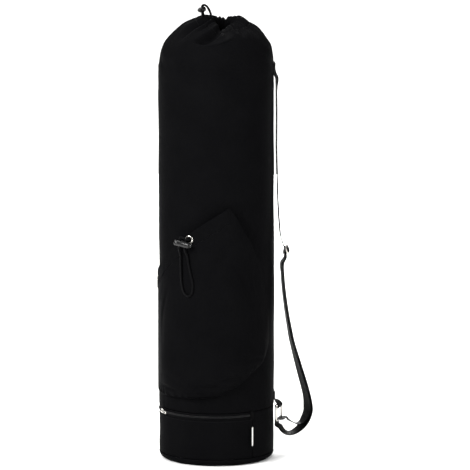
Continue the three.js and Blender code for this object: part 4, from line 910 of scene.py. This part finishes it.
strap = {
    "width": 25.0, "wall": 1.4, "top": 613.0, "drop": 579.0, "bow": 54.4, "y": 8.0,
    "pitch": 6.8, "near": 2.3, "layer": 1.75, "slot": 4.0, "tilt": 16.0,
    "ringYaw": 75.0, "ringHalfWide": 16.0, "ringHalfHigh": 11.0, "ringOut": 8.0, "ringZ": 67.5,
    "ringWire": 3.0, "ringCorner": 3.0, "tabAngle": 95.0,
}
upperRows = [  # drop, out, turn in degrees
    (-0.02, 0.0118, 5), (-0.002, 0.0125, 5), (0.008, 0.031, 8), (0.017, 0.056, 14), (0.028, 0.08, 10),
    (0.039, 0.0735, 6.5), (0.0555, 0.069, 4), (0.085, 0.07, 4), (0.111, 0.073, 4), (0.166, 0.072, 4),
    (0.221, 0.072, 4), (0.275, 0.085, 4), (0.33, 0.103, 4), (0.372, 0.12, 4), (0.4, 0.137, 4),
    (0.427, 0.16, 4), (0.454, 0.19, 3),
]
doubleRows = [  # drop, out, turn, half gap of the layers
    (0.527, 0.25, 5, 1.25), (0.563, 0.251, 5.5, 1.35), (0.604, 0.287, 6, 1.4), (0.64, 0.334, 7, 1.4),
    (0.673, 0.384, 8, 1.4), (0.707, 0.447, 10, 1.4), (0.742, 0.516, 12, 1.4), (0.77, 0.593, 14.5, 1.4),
    (0.796, 0.669, 17.5, 1.4), (0.825, 0.755, 20, 1.4), (0.851, 0.834, 22, 1.4), (0.879, 0.916, 23, 1.4),
    (0.9, 0.966, 24, 1.4), (0.918, 0.99, 27, 1.4), (0.934, 0.994, 29, 1.4),
]
bendRows = [  # drop, out, turn, lean
    (0.948, 0.982, 28, -5), (0.962, 0.925, 24, -9), (0.975, 0.84, 18, -11), (0.987, 0.72, 11, -11),
    (0.996, 0.58, 5, -8), (1, 0.45, -1, -4), (0.998, 0.35, -7, -1), (0.991, 0.26, -12, 1),
    (0.981, 0.18, -15, 1),
]
returnRows = [
    (0.956, 0.345, -8, 5), (0.962, 0.43, -3, 8), (0.969, 0.55, 3, 9), (0.973, 0.65, 9, 7),
    (0.97, 0.76, 15, 4), (0.959, 0.865, 20, 1), (0.946, 0.935, 24, 0),
]


def widthWay(turn, lean=0.0):
    t, s = math.radians(turn), math.radians(lean)
    return np.array([math.sin(t) * math.cos(s), -math.cos(t) * math.cos(s), math.sin(s)])


def strapPoint(row):
    return np.array([bagRadius + row[1] * strap["bow"], strap["y"], strap["top"] - row[0] * strap["drop"]])


def plainRows(rows):
    return [(strapPoint(row), widthWay(row[2], row[3] if len(row) > 3 else 0.0)) for row in rows]


def offsetRows(rows, side):
    result = []
    for i, row in enumerate(rows):
        along = unit(strapPoint(rows[min(i + 1, len(rows) - 1)]) - strapPoint(rows[max(i - 1, 0)]))
        aside = unit(np.cross(widthWay(row[2]), along))
        result.append((strapPoint(row) + aside * side * row[3], widthWay(row[2])))
    return result


tilt = math.radians(strap["tilt"])
adjusterAt = strapPoint((0.492, 0.357))
adjusterDown = np.array([math.sin(tilt), 0, -math.cos(tilt)])
adjusterOut = np.array([math.cos(tilt), 0, math.sin(tilt)])
p, n, lay, s = strap["pitch"], strap["near"], strap["layer"], strap["slot"]
throughPairs = [
    (-p - 2.4, -n - 0.1), (-p, -n), (1.3 - p, -n), (-s - 0.15, -1.4), (-s, 0), (0.15 - s, 1.5),
    (-3.2, n + 0.7),
    (-1.8, n + lay - 0.15), (0, n + lay), (1.8, n + lay - 0.15), (3.2, n + 0.7), (s - 0.15, 1.5), (s, 0),
    (s + 0.15, -1.4), (p - 1.3, -n), (p, -n), (p + 3, -n - 0.5),
]
fixedPairs = [
    (p + 5, -n - 0.5 - 2 * lay), (p, -n - 2 * lay - 0.1), (4.6, -n - 2 * lay), (2.2, -n - 1.35 * lay),
    (0.6, -n - 0.5 * lay), (-0.6, -n), (-0.78 * n, -0.78 * n), (-n, 0), (-0.78 * n, 0.78 * n), (0, n),
    (0.78 * n, 0.78 * n), (n, 0), (n + 0.15, -1.4), (3.2, -2.7), (4.8, -n - 0.9 * lay), (p, -n - lay - 0.1),
    (p + 4, -n - lay - 0.4),
]


def adjusterRows(pairs):
    return [(adjusterAt + adjusterDown * d + adjusterOut * o, widthWay(2)) for d, o in pairs]


yaw = math.radians(strap["ringYaw"])
ringAlong = np.array([math.cos(yaw), math.sin(yaw), 0])
upward = np.array([0, 0, 1.0])
ringFace = np.cross(ringAlong, upward)
ringAt = np.array([bagRadius + strap["ringOut"], strap["y"], strap["ringZ"]])
nearBar = strap["ringWire"] / 2 + 0.3 + strap["wall"] / 2 + 0.2


def barRows(bar, pairs):
    return [(bar + ringFace * out + upward * up, -ringAlong) for out, up in pairs]


k = nearBar
ringWrap = barRows(ringAt - upward * strap["ringHalfHigh"], [
    (-k - 0.6, -8), (-k - 0.4, -4), (-k - 0.2, 0), (-0.72 * k, 0.72 * k), (0, k + 0.1), (0.72 * k, 0.9 * k),
    (k + 1.4, 1.8), (k + 4, 1.6)])
strapStations = (
    plainRows(upperRows) + adjusterRows(throughPairs) + offsetRows(doubleRows, 1) + plainRows(bendRows)
    + ringWrap + plainRows(returnRows) + offsetRows(doubleRows, -1)[::-1] + adjusterRows(fixedPairs))
tabRadius = onBag + strap["wall"] / 2
tabWide = -around(strap["tabAngle"] + 90, 1.0, 0.0)
tabTop = strap["ringZ"] + strap["ringHalfHigh"]
tabStations = [(around(strap["tabAngle"], tabRadius + off, tabTop + up), tabWide)
               for off, up in ((0, 24), (0, 14), (0.8, 9))]
tabStations += barRows(ringAt + upward * strap["ringHalfHigh"], [
    (-k * 0.6, 5.4), (k * 0.55, k * 0.95 + 0.3), (k, 0), (0.72 * k, -0.72 * k), (0, -k),
    (-0.72 * k, -0.72 * k), (-k, 0), (-k - 0.5, 2.2)])


def webbingBand(name, stations, width, wall, step):
    # flat webbing with a rounded selvedge, its weave running along it
    rows, run = smoothPath([np.concatenate(station) for station in stations], step)
    path, wide = rows[:, :3], rows[:, 3:]
    along = unit(np.gradient(path, axis=0))
    wide = unit(wide - along * np.sum(wide * along, axis=1, keepdims=True))
    face = np.cross(along, wide)
    half, h = width / 2, wall / 2
    across = [half - 0.9, half * 0.66, half * 0.33, 0, -half * 0.33, -half * 0.66, -half + 0.9]
    loop = [(a, h) for a in across] + [(-half + 0.25, h * 0.75), (-half, 0), (-half + 0.25, -h * 0.75)]
    loop = np.array(loop + [(-a, -b) for a, b in loop])
    points = path[:, None] + wide[:, None] * loop[None, :, :1] + face[:, None] * loop[None, :, 1:]
    uv = gridUv(lengths(np.vstack([loop, loop[:1]])), run)
    return rod(name, points, uv), (path, wide, face, run)


strapPiece, strapBand = webbingBand("shoulderStrap", strapStations, strap["width"], strap["wall"], 1.5)
finishPiece(strapPiece, "bag", webbing, "webbing", "shoulder_strap")
tabPiece, tabBand = webbingBand("ringTab", tabStations, strap["width"] - 1, strap["wall"], 0.8)
finishPiece(tabPiece, "bag", webbing, "webbing", "ring_tab")
finishPiece(refined("strapAdjuster", "strap_adjuster", 0.35), "bag", nickelPlate, "nickel", "strap_adjuster")


def ringMesh():
    wire, r = circle(20), strap["ringWire"] / 2
    rings = []
    for sx, sy, start in ((1, 1, 0), (-1, 1, 90), (-1, -1, 180), (1, -1, 270)):
        middle = np.array([sx * (strap["ringHalfWide"] - strap["ringCorner"]),
                           sy * (strap["ringHalfHigh"] - strap["ringCorner"])])
        for i in range(9):
            turn = math.radians(start + i * 11.25)
            out = np.array([math.cos(turn), math.sin(turn)])
            flat = middle + out * (strap["ringCorner"] + r * np.cos(wire)[:, None])
            local = np.concatenate([flat, (r * np.sin(wire))[:, None]], axis=1)
            rings.append(local @ np.array([ringAlong, upward, ringFace]) + ringAt)
    uv = np.zeros((len(rings) + 1, len(wire) + 1, 2))
    mesh = gridMesh("strapRing", np.array(rings), uv, closedRows=True, closedColumns=True)
    weld(mesh)
    return mesh


finishPiece(newObject("strapRing", ringMesh()), "bag", nickelPlate, "nickel", "strap_ring")
print("strap ready", round(strapBand[-1][-1]), "mm")

# Zip end tab and side label

endTab = {"start": 35.5, "end": 39.3, "low": 72.5, "high": 85.5, "wall": 1.2}
tabOuter = onBag + endTab["wall"]
a, h = np.meshgrid(np.linspace(endTab["start"], endTab["end"], 12),
                   np.linspace(endTab["low"], endTab["high"], 20))
bend = 0.25 * np.exp(-(a - endTab["start"]) / 0.25) + 0.25 * np.exp(-(endTab["end"] - a) / 0.25)
tabCloth = walled("zipEndTab", around(a, tabOuter - bend, h), wrapUv(a, h)[..., ::-1], endTab["wall"] * 0.8)
finishPiece(tabCloth, "bag", webbing, "webbing", "base_zip_end_tab")

label = {"angle": 39.0, "tilt": 42.0, "bottom": 31.0, "height": 29.0, "wall": 0.34}
labelFoot = around(label["angle"], onBag + 0.4, label["bottom"] + label["height"] / 2)
lean = math.radians(label["angle"] + 180 + label["tilt"])
labelAway = np.array([math.cos(lean), math.sin(lean), 0])
labelFace = np.cross(upward, labelAway)
fold = [(0, -0.22), (3, -0.3), (6.4, -0.24), (7.6, -0.2), (7.85, 0)]
fold += [(out, -side) for out, side in fold[-2::-1]]
labelStations = [(labelFoot + labelAway * out + labelFace * side, upward) for out, side in fold]
labelPiece = webbingBand("sideLabel", labelStations, label["height"], label["wall"], 0.3)[0]
finishPiece(labelPiece, "bag", satinLabel, "label", "side_label")

# Stitching

stitch = {"pitch": 3.0, "size": (2.3, 0.62, 0.62), "boxHalf": 9.5}
seamAcross = np.linspace(0.02, 0.662, 260)
seamLow, seamTop = pocketEdges(seamAcross)
seamUp = (seamTop - pocket["stitchDown"] - seamLow) / (seamTop - seamLow)
seamAngle, seamRadius, seamZ = pocketPoints(seamAcross, seamUp)
seams = [around(seamAngle, seamRadius + 0.12, seamZ)]
zipArc = np.linspace(base["zipStart"] + 1, base["zipEnd"] - 0.8, 180)
frontArc = np.linspace(base["zipStart"], base["zipEnd"], frontPoints.shape[1])
frontRow = np.stack([np.interp(zipArc, frontArc, column) for column in frontPoints[-7].T], axis=1)
seams.append(frontRow + around(zipArc, 0.12, 0.0))
sideArc = degreesOnBag(zips["sideWidth"] / 2 - 2.2)
upSide = np.linspace(zips["sideLow"] + 2, zips["sideHigh"] - 2, 120)
for side in (-sideArc, sideArc):
    seams.append(around(zips["sideAngle"] + side, onBag + zips["tapeWall"] + 0.12, upSide))
# round the neck of the mouth, below the drawcord channel
neckRow = len(ups) - body["hemRows"] - 2
neckRing = outer[neckRow] + normals[neckRow] * 0.1
seams.append(np.concatenate([neckRing, neckRing[:1]]))


def boxStitch(band, low, high):
    # box with a cross, sewn through webbing between two places along it
    path, wide, face, run = (column[(band[3] >= low) & (band[3] <= high)] for column in band)
    place = path + face * (strap["wall"] / 2 + 0.1)
    side = wide * stitch["boxHalf"]
    share = np.linspace(-1, 1, len(run))[:, None]
    left, right = place - side, place + side
    return [left, right, np.array([left[0], right[0]]), np.array([left[-1], right[-1]]),
            place + side * share, place - side * share]


seams += boxStitch(strapBand, 3, 24) + boxStitch(tabBand, 2, 11)
seams.append(around(37.4, tabOuter + 0.1, np.linspace(endTab["low"] + 1.5, endTab["high"] - 1.5, 12)))
stitching = repeated("seamStitches", seams, stitchTree, stitch["pitch"], stitch["size"])
finishPiece(stitching, "bag", sewingThread, "cord")
print("stitches ready", len(stitching.data.polygons))

# Floor, light, camera

floorMesh = bpy.data.meshes.new("floor")
reach = 40.0
corners = [(-reach, -reach, 0), (reach, -reach, 0), (reach, reach, 0), (-reach, reach, 0)]
floorMesh.from_pydata(corners, [], [(0, 1, 2, 3)])
floor = newObject("floor", floorMesh)
floorPaint, _, floorShader = newMaterial("whitePaperSweep", Roughness=0.9)
floorShader.inputs["Base Color"].default_value = linear("#f4f4f3")
floorMesh.materials.append(floorPaint)

world = bpy.data.worlds.new("studio")
scene.world = world
world.use_nodes = True
background = world.node_tree.nodes["Background"]
background.inputs["Color"].default_value = (1, 1, 1, 1)
background.inputs["Strength"].default_value = 0.34
scene.view_settings.view_transform = "Standard"


def areaLight(name, azimuth, distance, height, aimZ, wide, high, power):  # metres, watts
    light = bpy.data.lights.new(name, "AREA")
    light.shape = "RECTANGLE"
    light.size, light.size_y, light.energy = wide, high, power
    lamp = bpy.data.objects.new(name, light)
    scene.collection.objects.link(lamp)
    place = Vector(around(azimuth, distance, height))
    lamp.location = place
    lamp.rotation_euler = (Vector((0, 0, aimZ)) - place).to_track_quat("-Z", "Y").to_euler()


areaLight("keyLeft", -36, 1.8, 1.35, 0.55, 0.35, 0.9, 35)
areaLight("rimRight", 58, 1.8, 1.3, 0.55, 0.4, 0.9, 20)
areaLight("topSoft", -55, 2.6, 2.6, 0.5, 0.6, 0.6, 66)
areaLight("backFill", 180, 2.6, 0.7, 0.35, 0.5, 1.4, 26)
areaLight("floorWash", 180, 3.0, 5.0, 0.0, 7.0, 7.0, 560)

cameraData = bpy.data.cameras.new("camera")
cameraData.lens = 500
cameraData.sensor_width = 36
cameraData.clip_end = 100
camera = bpy.data.objects.new("camera", cameraData)
scene.collection.objects.link(camera)
elevation = math.radians(10)
aim = Vector((0.0291, 0, 0.352))
distance = 0.7355 / 36 * cameraData.lens
camera.location = aim + distance * Vector((0, -math.cos(elevation), math.sin(elevation)))
camera.rotation_euler = (aim - camera.location).to_track_quat("-Z", "Y").to_euler()
scene.camera = camera

print("scene ready")
